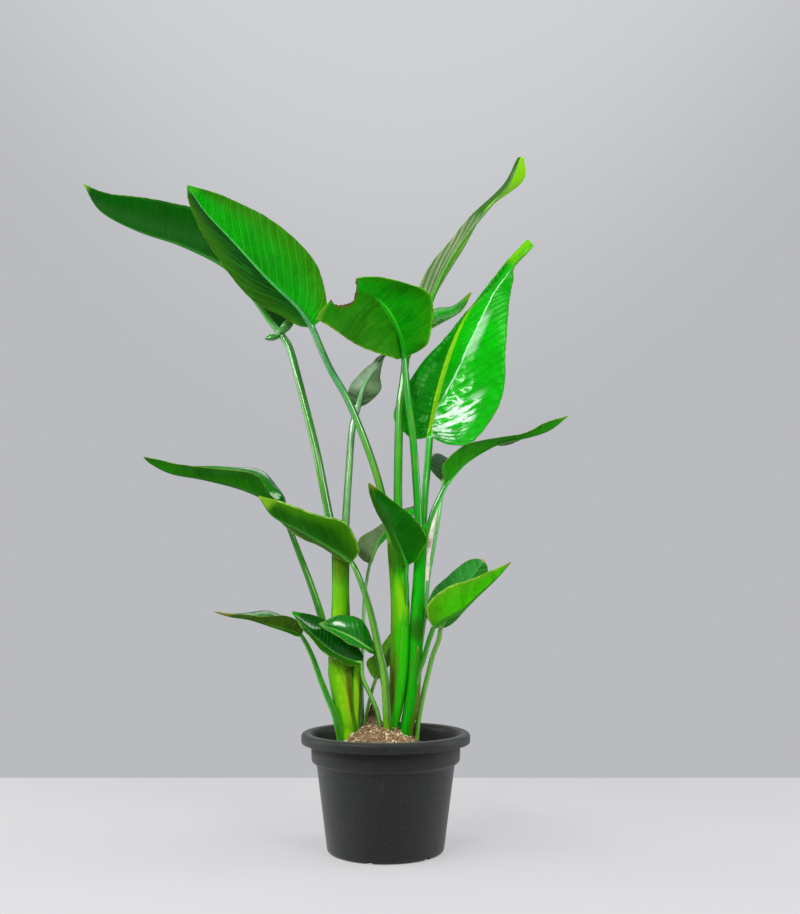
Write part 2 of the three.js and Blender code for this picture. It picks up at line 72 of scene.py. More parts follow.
DUST_GREY = (0.16, 0.15, 0.13)


def add(tree, kind, inputs=None, **fields):
    """One shader node, its fields set, and each input given a value or the socket that feeds it."""
    made = tree.nodes.new(kind)
    for field, value in fields.items():
        setattr(made, field, value)
    for key, value in (inputs or {}).items():
        if isinstance(value, bpy.types.NodeSocket):
            tree.links.new(value, made.inputs[key])
        else:
            made.inputs[key].default_value = value
    return made


def add_after(kind, inputs, **fields):
    """The outputs of one more node, in the tree of whichever input is a socket."""
    tree = next(value.id_data for value in inputs.values() if isinstance(value, bpy.types.NodeSocket))
    return add(tree, kind, inputs, **fields).outputs


def calc(operation, a, b=0.0, c=0.0):
    return add_after("ShaderNodeMath", {0: a, 1: b, 2: c}, operation=operation)[0]


def times(a, b):
    return calc("MULTIPLY", a, b)


def scaled(value, factor, offset):
    return calc("MULTIPLY_ADD", value, factor, offset)


def rest_of(share):
    return calc("SUBTRACT", 1.0, share)


def share_between(value, low, high):
    """0 where value is at low, 1 where it is at high, and smooth between them."""
    inputs = {"Value": value, "From Min": low, "From Max": high}
    return add_after("ShaderNodeMapRange", inputs, interpolation_type="SMOOTHSTEP")["Result"]


def mix(share, a, b):
    """Colour a where share is 0 and colour b where it is 1."""
    inputs = {0: share}
    inputs[6] = a if isinstance(a, bpy.types.NodeSocket) else (*a, 1)
    inputs[7] = b if isinstance(b, bpy.types.NodeSocket) else (*b, 1)
    return add_after("ShaderNodeMix", inputs, data_type="RGBA")[2]


def stain(colour, strength, share, other):
    """The colour with another laid over it, as strongly as given, where share is 1."""
    return mix(times(share, strength), colour, other)


def speckle(where, scale, detail=3.0, roughness=0.6):
    inputs = {"Vector": where, "Scale": scale, "Detail": detail, "Roughness": roughness}
    return add_after("ShaderNodeTexNoise", inputs)["Fac"]


def stretched(where, scale):
    """The same place with each direction scaled, so that a pattern on it is drawn out."""
    return add_after("ShaderNodeMapping", {"Vector": where, "Scale": scale})["Vector"]


def parts_of(vector):
    return add_after("ShaderNodeSeparateXYZ", {0: vector})


def new_material(name):
    """A new material, its node tree and its one shader."""
    material = bpy.data.materials.new(name)
    material.use_nodes = True
    return material, material.node_tree, material.node_tree.nodes["Principled BSDF"]


def feed(shader, **sockets):
    for name, value in sockets.items():
        socket = shader.inputs[name.replace("_", " ")]
        if isinstance(value, bpy.types.NodeSocket):
            shader.id_data.links.new(value, socket)
        else:
            socket.default_value = value


def bump(height, strength, distance):
    inputs = {"Height": height, "Strength": strength, "Distance": distance}
    return add_after("ShaderNodeBump", inputs)["Normal"]


def object_place(tree):
    return add(tree, "ShaderNodeTexCoord").outputs["Object"]


def place_in_scene(name, mesh_maker, materials, node):
    """Puts a finished piece in the scene, riding on the plant, in place of its node of the model."""
    mesh = bpy.data.meshes.new(name)
    bmesh.ops.recalc_face_normals(mesh_maker, faces=mesh_maker.faces)
    mesh_maker.to_mesh(mesh)
    mesh_maker.free()
    for material in materials:
        mesh.materials.append(material)
    mesh.shade_smooth()
    piece = bpy.data.objects.new(name, mesh)
    bpy.context.scene.collection.objects.link(piece)
    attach(piece, "root")
    if node:
        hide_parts(node)
    return piece


def rounded_profile(corners):
    """Outline of the wall, each corner given as radius, height and how far back the rounding starts."""
    outline = []
    for k, (r, z, rounding) in enumerate(corners):
        here = Vector((r, 0, z))
        if rounding == 0 or k in (0, len(corners) - 1):
            outline.append(here)
            continue
        before = Vector((corners[k - 1][0], 0, corners[k - 1][1])) - here
        after = Vector((corners[k + 1][0], 0, corners[k + 1][1])) - here
        start = here + before.normalized() * min(rounding, before.length * 0.49)
        end = here + after.normalized() * min(rounding, after.length * 0.49)
        for i in range(ROUNDING_STEPS + 1):
            w = i / ROUNDING_STEPS
            outline.append(start * (1 - w) ** 2 + here * 2 * w * (1 - w) + end * w ** 2)
    return outline


def pot_material():
    material, tree, shader = new_material("pot plastic")
    at = object_place(tree)
    height = parts_of(at)["Z"]
    cloud = speckle(at, 9.0, 4.0)
    grain = speckle(at, 900.0, 2.0)
    scuff = share_between(speckle(stretched(at, (70, 70, 14)), 1.0, 5.0), 0.62, 0.8)
    dust = share_between(speckle(at, 420.0, 1.0), 0.72, 0.8)
    plain = mix(cloud, PLASTIC_DARK, PLASTIC_LIGHT)
    plain = mix(share_between(grain, 0.48, 0.72), plain, PLASTIC_GRAIN)
    colour = stain(plain, 0.3, scuff, SCUFF_GREY)
    colour = stain(colour, 0.3, dust, DUST_GREY)
    rings = 0.0
    for ring in MOULD_RING_HEIGHTS:
        off = calc("ABSOLUTE", calc("SUBTRACT", height, ring * MM))
        line = rest_of(share_between(off, 0.0002, 0.0011))
        rings = calc("ADD", line, rings)
    broken = times(rings, share_between(speckle(at, 16.0), 0.35, 0.6))
    relief = scaled(grain, 0.25, times(broken, -1.6))
    turning = speckle(stretched(at, (4, 4, 900)), 1.0, 2.0)
    relief = scaled(turning, 0.12, relief)
    # Painted shade: the mould-ring grooves are darkened.
    colour = stain(colour, 0.7, broken, GROOVE_SHADE)
    # Painted shadow: a dark line under the step of the collar.
    step = calc("ABSOLUTE", calc("SUBTRACT", height, COLLAR_BOTTOM - 1.5 * MM))
    shadow = rest_of(share_between(step, 1.2 * MM, 3 * MM))
    colour = stain(colour, 0.8, shadow, GROOVE_SHADE)
    rough = scaled(cloud, 0.2, 0.36)
    feed(shader, Base_Color=colour, Roughness=rough, Specular_IOR_Level=0.18,
         Sheen_Weight=0.14, Sheen_Roughness=0.6, Sheen_Tint=(0.93, 1.0, 0.93, 1),
         Normal=bump(relief, 0.5, 0.0006))
    return material


def outline_maker(points):
    """The points joined up in a row, as half the section of something round."""
    bm = bmesh.new()
    corners = [bm.verts.new(p) for p in points]
    for pair in zip(corners, corners[1:]):
        bm.edges.new(pair)
    return bm


def spin_round(bm, steps):
    """Turns the outline once round the middle of the pot and closes the seam."""
    bmesh.ops.spin(bm, geom=bm.verts[:] + bm.edges[:], cent=(0, 0, 0), axis=(0, 0, 1),
                   angle=math.tau, steps=steps, use_merge=True)
    bmesh.ops.remove_doubles(bm, verts=bm.verts, dist=0.01 * MM)


def pot_mesh():
    skirt = POT_HEIGHT - RIM_DROP
    under_rim = POT_HEIGHT - POT_WALL - 1 * MM
    corners = [
        (0, 0, 0),
        (BODY_BOTTOM_RADIUS, 0, FOOT_ROUNDING),
        (BODY_TOP_RADIUS, COLLAR_BOTTOM - 3 * MM, 2 * MM),
        (COLLAR_RADIUS, COLLAR_BOTTOM + 1 * MM, 2.5 * MM),
        (COLLAR_RADIUS + 1.5 * MM, under_rim, 1 * MM),
        (RIM_RADIUS - POT_WALL, under_rim, 4 * MM),
        (RIM_RADIUS - POT_WALL, skirt, 0.6 * MM),
        (RIM_RADIUS - 0.4 * MM, skirt, 1.4 * MM),
        (RIM_RADIUS, POT_HEIGHT, 7.5 * MM),
        (COLLAR_RADIUS + 2 * MM, POT_HEIGHT, 4 * MM),
        (COLLAR_RADIUS - 2 * MM, POT_HEIGHT - 6 * MM, 3 * MM),
        (COLLAR_RADIUS - POT_WALL, COLLAR_BOTTOM + 3 * MM, 2 * MM),
        (BODY_TOP_RADIUS - POT_WALL, COLLAR_BOTTOM - 2 * MM, 2 * MM),
        (BODY_BOTTOM_RADIUS - POT_WALL, POT_FLOOR, FOOT_ROUNDING),
        (0, POT_FLOOR, 0),
    ]
    bm = outline_maker(rounded_profile(corners))
    for edge in bm.edges[:]:
        if edge.calc_length() > 8 * MM:
            cuts = int(edge.calc_length() / (6 * MM))
            bmesh.ops.subdivide_edges(bm, edges=[edge], cuts=cuts)
    spin_round(bm, POT_STEPS)
    return bm


def carve(piece, cutter_maker):
    """Cuts the shape that is in cutter_maker out of a piece, and throws the cutter away."""
    cutter = bpy.data.objects.new("cutter", bpy.data.meshes.new("cutter"))
    cutter_maker.to_mesh(cutter.data)
    cutter_maker.free()
    bpy.context.scene.collection.objects.link(cutter)
    cut = piece.modifiers.new("cut", "BOOLEAN")
    cut.object = cutter
    cut.solver = "EXACT"
    bpy.context.view_layer.update()
    shaped = bpy.data.meshes.new_from_object(piece.evaluated_get(bpy.context.evaluated_depsgraph_get()))
    piece.modifiers.clear()
    piece.data = shaped
    bpy.data.objects.remove(cutter)


def cut_drain_notches(pot):
    """Bores the drain notches through the foot with six short cylinders."""
    bm = bmesh.new()
    for i in range(DRAIN_HOLES):
        angle = math.tau * (i + 0.25) / DRAIN_HOLES
        x, y = DRAIN_RING_RADIUS * math.cos(angle), DRAIN_RING_RADIUS * math.sin(angle)
        made = bmesh.ops.create_cone(bm, cap_ends=True, segments=32, radius1=DRAIN_RADIUS,
                                     radius2=DRAIN_RADIUS, depth=DRAIN_BORE_LENGTH,
                                     matrix=Matrix.Translation((x, y, 0)) @ Matrix.Rotation(angle, 4, "Z"))
        bmesh.ops.recalc_face_normals(bm, faces=list({f for v in made["verts"] for f in v.link_faces}))
    carve(pot, bm)


pot = place_in_scene("nursery_pot", pot_mesh(), [pot_material()], "pot")
cut_drain_notches(pot)

# Soil
# Coarse bark and coconut chips that fill the pot and stand up in a mound round the pseudostems:
# one body, built in place of the imported one, with loose chips and fibres lying over its top.

# Sizes of the soil are in millimetres, as soil_height needs them.
SOIL_LEVEL = 129
MOUND_RISE = 40
MOUND_SPREAD = 58
MOUND_CENTRE_X = -9
SOIL_LUMP = 1.6
SOIL_CLEARANCE = 0.35
SOIL_STEPS = 150
SOIL_RINGS = 80
STUMP_HEIGHT = 35
STUMP_X = -18
STUMP_Y = 26
STUMP_SPREAD = 105
CHIP_COUNT = 5200
FIBRE_COUNT = 700
BROWN_BARK = (0.2, 0.1, 0.05)
TAN_BARK = (0.56, 0.39, 0.2)
STRAW_BARK = (0.95, 0.82, 0.52)
DAMP_BARK = (0.08, 0.04, 0.018)
ROTTEN_WOOD = (0.035, 0.024, 0.005)
SOIL_GAP_SHADE = (0.014, 0.008, 0.005)


def soil_height(x, y):
    """Height of the soil over a place in the pot, all in millimetres."""
    reach = math.hypot(x - MOUND_CENTRE_X, y) / MOUND_SPREAD
    lumps = math.sin(x * 0.31 + 1.3) * math.cos(y * 0.27) + 0.6 * math.sin(x * 0.13 - y * 0.55)
    stump = STUMP_HEIGHT * math.exp(-((x - STUMP_X) ** 2 + (y - STUMP_Y) ** 2) / STUMP_SPREAD)
    return SOIL_LEVEL + MOUND_RISE * math.exp(-reach ** 3) + SOIL_LUMP * lumps + stump


def soil_mesh():
    clear = POT_WALL + SOIL_CLEARANCE * MM
    top = COLLAR_RADIUS - clear
    lowest = POT_FLOOR + SOIL_CLEARANCE * MM
    side = [(0, lowest), (BODY_BOTTOM_RADIUS - FOOT_ROUNDING - 1.3 * MM, lowest),
            (BODY_BOTTOM_RADIUS - clear, FOOT_ROUNDING + 3.2 * MM),
            (BODY_TOP_RADIUS - clear, COLLAR_BOTTOM - 1.8 * MM), (top, COLLAR_BOTTOM + 3.2 * MM)]
    side += [(top * (1 - i / SOIL_RINGS), SOIL_LEVEL * MM) for i in range(SOIL_RINGS + 1)]
    bm = outline_maker([(r, 0, z) for r, z in side])
    spin_round(bm, SOIL_STEPS)
    for v in bm.verts:
        if v.co.z > COLLAR_BOTTOM + 5 * MM:
            crumbs = noise.fractal(v.co * 170, 0.7, 2.2, 4) * 1.5
            v.co.z = (soil_height(v.co.x / MM, v.co.y / MM) - 1.0 + crumbs) * MM
    return bm


def chip_mesh():
    """Loose chips and fibres: irregular flakes, scattered flat over the soil and its mound."""
    rng = random.Random(12)
    whole, bm = bmesh.new(), bmesh.new()
    tone = bm.loops.layers.uv.new("tone")
    handful = bpy.data.meshes.new("handful")
    reach = COLLAR_RADIUS / MM - 5
    for k in range(CHIP_COUNT + FIBRE_COUNT):
        if k % 150 == 149:
            bm.to_mesh(handful)
            whole.from_mesh(handful)
            bmesh.ops.delete(bm, geom=bm.verts[:], context="VERTS")
        r = reach * math.sqrt(rng.random())
        angle = rng.uniform(0, math.tau)
        x, y = r * math.cos(angle), r * math.sin(angle)
        rise = (soil_height(x + 1, y) - soil_height(x - 1, y)) / 2
        lean = (soil_height(x, y + 1) - soil_height(x, y - 1)) / 2
        slope = Vector((0, 0, 1)).rotation_difference(Vector((-rise, -lean, 1))).to_matrix().to_4x4()
        if k < CHIP_COUNT:
            size = rng.triangular(0.9, 5.2, 1.8)
            extent = (size, size * rng.uniform(0.35, 0.8), size * rng.uniform(0.14, 0.32))
            tilt = rng.gauss(0, 0.42)
        else:
            extent = (rng.uniform(4, 9), 0.32, 0.28)
            tilt = rng.gauss(0, 0.22)
        if r + max(extent) > reach + 1.5:
            continue
        place = (Matrix.Translation(Vector((x, y, soil_height(x, y) - 0.3 + rng.uniform(-0.5, 0.9))) * MM)
                 @ slope @ Matrix.Rotation(rng.uniform(0, math.pi), 4, "Z") @ Matrix.Rotation(tilt, 4, "X")
                 @ Matrix.Rotation(rng.gauss(0, 0.3), 4, "Y")
                 @ Matrix.Diagonal((extent[0] * MM, extent[1] * MM, extent[2] * MM, 1)))
        if k % 3:
            corners = bmesh.ops.create_cube(bm, size=1.0, matrix=place)["verts"]
        else:
            corners = bmesh.ops.create_icosphere(bm, subdivisions=1, radius=0.55, matrix=place)["verts"]
        rough = min(extent[:2]) * 0.16 * MM
        for v in corners:
            push = [rng.uniform(-rough, rough) for _ in range(3)]
            v.co += Vector((push[0], push[1], push[2] / 3))
        own = (rng.random(), rng.random())
        for face in {f for v in corners for f in v.link_faces}:
            for loop in face.loops:
                loop[tone].uv = own
    bm.to_mesh(handful)
    whole.from_mesh(handful)
    bm.free()
    bpy.data.meshes.remove(handful)
    return whole


def chart_place(tree, uv_map):
    """The two coordinates of a point on one of the piece's own UV maps."""
    parts = parts_of(add(tree, "ShaderNodeUVMap", uv_map=uv_map).outputs[0])
    return parts["X"], parts["Y"]


def soil_material(name, per_chip):
    material, tree, shader = new_material(name)
    at = object_place(tree)
    fibre = speckle(stretched(at, (260, 900, 500)), 1.0, 4.0, 0.7)
    damp = speckle(at, 22.0, 3.0)
    if per_chip:
        tint, light = chart_place(tree, "tone")
    else:
        tint = speckle(at, 240.0, 4.0, 0.8)
        light = speckle(at, 410.0, 2.0)
    brown = mix(tint, BROWN_BARK, TAN_BARK)
    pale = mix(share_between(light, 0.5, 0.9), brown, STRAW_BARK)
    colour = mix(share_between(fibre, 0.35, 0.75), mix(damp, DAMP_BARK, pale), pale)
    height = parts_of(at)["Z"]
    rotten = share_between(scaled(fibre, 0.006, height), 0.176, 0.186)
    colour = stain(colour, 0.85, rotten, ROTTEN_WOOD)
    if not per_chip:
        # Painted shade in the gaps between the chips of the packed soil.
        colour = mix(share_between(tint, 0.3, 0.6), SOIL_GAP_SHADE, colour)
    feed(shader, Base_Color=colour, Roughness=0.93, Specular_IOR_Level=0.12,
         Normal=bump(fibre, 0.7, 0.0008))
    return material


place_in_scene("soil_mound", soil_mesh(), [soil_material("packed bark soil", False)], "soil")
chips = place_in_scene("soil_chips", chip_mesh(), [soil_material("loose bark chips", True)], None)
chips.data.shade_flat()

# Pseudostems
# Three upright stems, each a roll of leaf bases wrapped round one another, fibrous and slightly
# ribbed. The outer bases split, dry brown along their free edges and end in withered tips.

STEM_POINTS = 48
STEM_STEPS = 90
STEM_RIB = 0.28
# Rings from the bottom up as height, x, y, half width and half depth, in millimetres.
LEFT_STEM = [
    (122, -50, 0, 11, 9), (165, -52, 0, 13, 10.5), (200, -59, 0, 14.5, 11.5), (253, -65, 0, 17, 12.5),
    (300, -65, 0, 14.5, 11.5), (360, -65.5, 0, 12.5, 11), (425, -66, 2, 13, 11), (446, -67, 3, 11, 8)]
LEFT_STEM_SIDE = [(122, -42, 2, 6, 6), (170, -43, 2, 7, 7), (250, -41, 2, 7.5, 8), (272, -42, 2, 5, 6)]
MIDDLE_STEM = [
    (122, 8, 2, 8, 9), (165, 8, 2, 9, 10.5), (195, 14, 2, 9.5, 11), (242, 18, 2, 12.5, 11.5),
    (323, 20.5, 1, 13.5, 11), (369, 18.5, 1, 13, 10.5), (416, 14.5, 1, 12.5, 9.5), (438, 13.5, 1, 11, 7.5)]
RIGHT_STEM = [
    (122, 26, -2, 7, 8), (165, 29, -2, 9, 9.5), (195, 35.5, -1, 10.5, 10), (242, 40.5, 0, 9.6, 10),
    (323, 44.5, 0, 10, 10), (392, 48, 0, 8.5, 10), (430, 51.5, 0, 11.5, 10.5), (456, 53, 0, 11, 9.5)]


def smooth_path(points):
    """Smooth line through the points: gives the place at a share of the way along it."""
    stations = [Vector(p) for p in points]
    padded = [stations[0] * 2 - stations[1], *stations, stations[-1] * 2 - stations[-2]]
    spans = len(stations) - 1

    def place(share):
        k = min(max(int(share * spans), 0), spans - 1)
        w = share * spans - k
        a, b, c, d = padded[k:k + 4]
        leave, arrive = (c - a) * 0.5, (d - b) * 0.5
        return (b + leave * w + (c * 3 - b * 3 - leave * 2 - arrive) * w ** 2
                + (b * 2 - c * 2 + leave + arrive) * w ** 3)

    return place


def direction(path, share):
    return (path(min(share + 0.002, 1)) - path(max(share - 0.002, 0))).normalized()


def sleeve(bm, rings, chart=lambda i, j: {}, layer_of=None):
    """Closed skin over a row of rings, with a flat face at each end. chart gives each UV map's
    coordinates for ring i and point j, and layer_of the material between point j and the next."""
    rows, count = len(rings), len(rings[0])
    maps = {}
    for name in chart(0, 0):
        maps[name] = bm.loops.layers.uv.get(name) or bm.loops.layers.uv.new(name)
    made = bmesh.ops.create_grid(bm, x_segments=count, y_segments=rows - 1, size=0.5)["verts"]
    where, seam = {}, {}
    net = [[None] * (count + 1) for _ in rings]
    for v in made:
        i, j = round((v.co.y + 0.5) * (rows - 1)), round((v.co.x + 0.5) * count)
        net[i][j] = v
        where[v] = (i, j)
    faces = {f for v in made for f in v.link_faces}
    for face in faces:
        for loop in face.loops:
            for name, place in chart(*where[loop.vert]).items():
                loop[maps[name]].uv = place
        if layer_of:
            face.material_index = layer_of(min(where[v][1] for v in face.verts))
    for v, (i, j) in where.items():
        v.co = rings[i][j % count]
        if j == count:
            seam[v] = net[i][0]
    bmesh.ops.weld_verts(bm, targetmap=seam)
    for row in (0, rows - 1):
        end = [bm.edges.get((net[row][j], net[row][(j + 1) % count])) for j in range(count)]
        cap = bmesh.ops.edgeloop_fill(bm, edges=end)["faces"]
        for face in cap:
            for loop in face.loops:
                for name, place in chart(*where[loop.vert]).items():
                    loop[maps[name]].uv = place


def stem_paths(rows):
    """The middle line of a stem, and its half width and half depth along it."""
    middle = smooth_path([(x, y, z) for z, x, y, _, _ in rows])
    return middle, smooth_path([(w, d, 0) for *_, w, d in rows])


def stem_layer(bm, rows, number, wrap):
    """One roll of the stem. wrap lists the free edges on it: angle at the foot and at the top in
    turns, and how far the base outside that edge stands proud, in millimetres."""
    centre, size = stem_paths(rows)
    rings = []
    for i in range(STEM_STEPS + 1):
        share = i / STEM_STEPS
        at, half = centre(share), size(share)
        closed = math.sqrt(max(0.09, 1 - max(0, (share - 0.955) / 0.045) ** 2))
        ring = []
        for j in range(STEM_POINTS):
            turn = j / STEM_POINTS
            angle = math.tau * turn
            proud = STEM_RIB * math.sin(angle * 7 + share * 5 + number) * math.sin(angle * 3 + 1)
            for foot, top, rise in wrap:
                edge = foot + (top - foot) * share
                past = (turn - edge) % 1
                proud += rise * max(0, 1 - past / 0.3) * min(1, past / 0.02 + 0.02)
            outward = Vector((math.cos(angle), math.sin(angle), 0))
            spread = Vector((outward.x * (half.x + proud), outward.y * (half.y + proud), 0))
            ring.append((at + spread * closed) * MM)
        rings.append(ring)

    def chart(i, j):
        share, turn = i / STEM_STEPS, j / STEM_POINTS
        off = [abs((turn - foot - (top - foot) * share + 0.5) % 1 - 0.5) for foot, top, _ in wrap]
        return {"round": (turn, centre(share).z * MM), "edge": (min(off, default=0.5), 0)}

    sleeve(bm, rings, chart)


def free_sheath(bm, rows, span, turns, stand_off, tip_share):
    """An outer leaf base: part of a roll round the stem, from span[0] to span[1] of its height,
    narrowing to a tip over the last part of it, tip_share."""
    centre, size = stem_paths(rows)
    steps, across = 60, 12
    middle, reach = (turns[0] + turns[1]) / 2, (turns[1] - turns[0]) / 2
    rings, fine = [], []
    for i in range(steps + 1):
        up = i / steps
        share = span[0] + (span[1] - span[0]) * up
        closing = max(0, up - 1 + tip_share) / tip_share
        narrow = max(0.03, math.cos(closing * math.pi / 2) ** 0.8)
        at, half = centre(share), size(share)
        outer, inner = [], []
        for j in range(across + 1):
            s = j / across * 2 - 1
            angle = math.tau * (middle + reach * narrow * s)
            loose = stand_off + 0.5 * up ** 3 + 0.25 * abs(s) ** 4
            for line, off in ((outer, loose + 0.8 * (1 - 0.5 * abs(s))), (inner, loose - 0.1)):
                spread = Vector((math.cos(angle) * (half.x + off), math.sin(angle) * (half.y + off), 0))
                line.append((at + spread) * MM)
        rings.append(outer + inner[::-1])
        fine.append(reach * narrow)

    def chart(i, j):
        j = j % (2 * across + 2)
        column = j if j <= across else 2 * across + 1 - j
        s = column / across * 2 - 1
        height = centre(span[0] + (span[1] - span[0]) * i / steps).z
        edge = min((1 - abs(s)) * fine[i], (1 - i / steps) * 0.35)
        return {"round": (middle + fine[i] * s, height * MM), "edge": (edge, 0)}

    sleeve(bm, rings, chart)


LIME = (0.19, 0.5, 0.002)
OLIVE = (0.09, 0.36, 0.002)
GREEN = (0.004, 0.3, 0.001)
# Painted shade on the sides and back of the stems, in the colours round each stem.
SHADE = (0.004, 0.12, 0.001)
# Painted shadow that the leaves cast on the tops of the stems.
LEAF_SHADOW_OLIVE = (0.02, 0.07, 0.001)
BROWN = (0.11, 0.075, 0.008)
DRY_RIM = (0.36, 0.3, 0.07)
FIBRE_SHADE = (0.015, 0.12, 0.001)
STEM_CLOUD = (0.02, 0.17, 0.002)
STEM_SCRATCH = (0.08, 0.1, 0.004)
STEM_SPOT = (0.12, 0.09, 0.01)
STEM_TINT = (0.4, 0.9, 0.3, 1)


def stem_material(name, around, fibre_colour, patches):
    """around gives the colours round the stem, as turn and colour; patches the places that differ, as
    turn, height, half width in turns, half height and colour."""
    material, tree, shader = new_material(name)
    at = object_place(tree)
    turn, height = chart_place(tree, "round")
    edge, _ = chart_place(tree, "edge")
    drift = speckle(stretched(at, (30, 30, 6)), 1.0, 3.0)
    wander = scaled(drift, 0.08, calc("ADD", turn, -0.04))
    ramp = add(tree, "ShaderNodeValToRGB", {0: wander})
    ramp.color_ramp.interpolation = "EASE"
    for k, (stop, colour) in enumerate(around):
        element = ramp.color_ramp.elements[k] if k < 2 else ramp.color_ramp.elements.new(stop)
        element.position = stop
        element.color = (*colour, 1)
    fibres = speckle(stretched(at, (900, 900, 16)), 1.0, 3.0, 0.65)
    cloud = speckle(at, 40.0, 4.0)
    colour = stain(ramp.outputs[0], 0.35, share_between(fibres, 0.42, 0.75), fibre_colour)
    colour = stain(colour, 0.45, share_between(fibres, 0.46, 0.25), FIBRE_SHADE)
    colour = stain(colour, 0.45, share_between(cloud, 0.48, 0.7), STEM_CLOUD)
    scratch = speckle(stretched(at, (420, 420, 9)), 1.0, 2.0, 0.7)
    colour = stain(colour, 0.5, share_between(scratch, 0.62, 0.7), STEM_SCRATCH)
    for where, level, width, tall, patch in patches:
        side = calc("DIVIDE", calc("SUBTRACT", turn, where), width)
        rise = calc("DIVIDE", calc("SUBTRACT", height, level * MM), tall * MM)
        off = calc("ADD", times(side, side), times(rise, rise))
        inside = rest_of(share_between(scaled(fibres, 1.4, off), 0.75, 1.75))
        colour = stain(colour, 0.8, inside, patch)
    rim = rest_of(share_between(scaled(fibres, 0.02, edge), 0.008, 0.022))
    colour = stain(colour, 0.6, rim, DRY_RIM)
    flecks = share_between(speckle(at, 260.0, 1.0), 0.72, 0.8)
    colour = stain(colour, 0.5, flecks, STEM_SPOT)
    feed(shader, Base_Color=colour, Roughness=scaled(cloud, 0.25, 0.26),
         Specular_IOR_Level=0.3, Specular_Tint=STEM_TINT, Normal=bump(fibres, 0.35, 0.0005))
    return material


def raise_stem(side, rolls, sheath, around, fibre_colour, patches):
    """rolls gives the rings of each roll and its free edges, and sheath what free_sheath needs for the
    free base round the first roll."""
    bm = bmesh.new()
    for number, (rows, wrap) in enumerate(rolls, 1):
        stem_layer(bm, rows, number, wrap)
    free_sheath(bm, rolls[0][0], *sheath)
    look = stem_material(side + " pseudostem", around, fibre_colour, patches)
    place_in_scene(side + "_pseudostem", bm, [look], "stem_" + side)


# On the left stem the dark patches at 278, 352 and 405 mm are painted shadow below the leaves.
raise_stem(
    "left", [(LEFT_STEM, [(0.62, 0.7, 0.7), (0.93, 0.9, 0.5)]), (LEFT_STEM_SIDE, [(0.7, 0.68, 0.5)])],
    ((0.05, 0.46), (0.42, 0.86), 0.4, 0.5),
    [(0.0, SHADE), (0.3, SHADE), (0.52, SHADE), (0.58, GREEN), (0.63, LIME), (0.76, LIME), (0.82, OLIVE),
     (0.95, SHADE)],
    (0.13, 0.5, 0.008),
    [(0.86, 230, 0.05, 70, BROWN), (0.62, 230, 0.1, 60, OLIVE), (0.72, 278, 0.3, 34, (0.04, 0.13, 0.001)),
     (0.7, 352, 0.4, 26, OLIVE), (0.72, 405, 0.4, 44, LEAF_SHADOW_OLIVE), (0.8, 205, 0.04, 40, (0.3, 0.5, 0.004)),
     (0.66, 180, 0.05, 26, GREEN)])
# On the middle stem the dark patch at 410 mm is painted shadow below the centre leaves.
raise_stem(
    "middle", [(MIDDLE_STEM, [(0.4, 0.35, 0.5)])],
    ((0.05, 0.62), (0.7, 1.02), 0.5, 0.55),
    [(0.0, GREEN), (0.3, SHADE), (0.48, SHADE), (0.54, (0.06, 0.24, 0.001)), (0.66, (0.07, 0.26, 0.001)),
     (0.72, (0.02, 0.42, 0.001)), (0.85, (0.015, 0.46, 0.001)), (0.95, GREEN)],
    (0.06, 0.5, 0.003),
    [(0.76, 346, 0.14, 38, LIME), (0.65, 335, 0.08, 40, OLIVE), (0.66, 225, 0.06, 60, BROWN),
     (0.7, 410, 0.4, 34, LEAF_SHADOW_OLIVE)])
raise_stem(
    "right", [(RIGHT_STEM, [(0.66, 0.62, 0.5), (0.95, 0.98, 0.6)])],
    ((0.05, 0.5), (0.62, 0.96), 0.4, 0.5),
    [(0.0, OLIVE), (0.3, SHADE), (0.5, SHADE), (0.58, GREEN), (0.68, (0.004, 0.33, 0.001)),
     (0.8, (0.004, 0.2, 0.001)), (0.9, GREEN), (0.97, OLIVE)],
    (0.004, 0.45, 0.002),
    [(0.76, 375, 0.35, 42, (0.001, 0.38, 0.001)), (0.8, 303, 0.3, 22, (0.01, 0.07, 0.001)),
     (0.9, 190, 0.1, 60, BROWN)])

# Dried sheath
# One papery strip of an old leaf base, straw coloured and curled along its length, that stands
# between two stalks on the right.

# The middle line and the half widths along it, in millimetres.
DRY_SHEATH = [(59, -8, 372), (60, -8, 400), (62, -7, 425), (67, -7, 450), (74, -6, 474)]
DRY_SHEATH_HALF_WIDTHS = [(1.8, 0, 0), (2.6, 0, 0), (3.1, 0, 0), (2.4, 0, 0), (0.6, 0, 0)]
STRAW_DARK = (0.5, 0.42, 0.28)
STRAW_LIGHT = (0.95, 0.93, 0.85)
STRAW_BLOTCH = (0.34, 0.17, 0.07)


def dry_sheath_mesh():
    path, width = smooth_path(DRY_SHEATH), smooth_path(DRY_SHEATH_HALF_WIDTHS)
    steps, across = 60, 10
    rings = []
    for i in range(steps + 1):
        along = direction(path, i / steps)
        side = (Vector((1, 0, 0)) - along * along.x).normalized()
        thin = along.cross(side)
        half = width(i / steps).x
        line = []
        for j in range(across + 1):
            s = j / across * 2 - 1
            crinkle = 0.25 * math.sin(i * 0.7 + s * 4) * s
            line.append(path(i / steps) + side * half * s + thin * (0.8 * s * s - 0.4 + crinkle))
        rings.append([(p - thin * 0.2) * MM for p in line] + [(p + thin * 0.2) * MM for p in line[::-1]])
    bm = bmesh.new()
    sleeve(bm, rings)
    return bm


def dry_material():
    material, tree, shader = new_material("dried sheath")
    at = object_place(tree)
    fibres = speckle(stretched(at, (1100, 1100, 30)), 1.0, 3.0, 0.7)
    blotch = share_between(speckle(at, 90.0, 3.0), 0.45, 0.7)
    colour = stain(mix(fibres, STRAW_DARK, STRAW_LIGHT), 0.65, blotch, STRAW_BLOTCH)
    feed(shader, Base_Color=colour, Roughness=0.7, Normal=bump(fibres, 0.6, 0.0006))
    return material


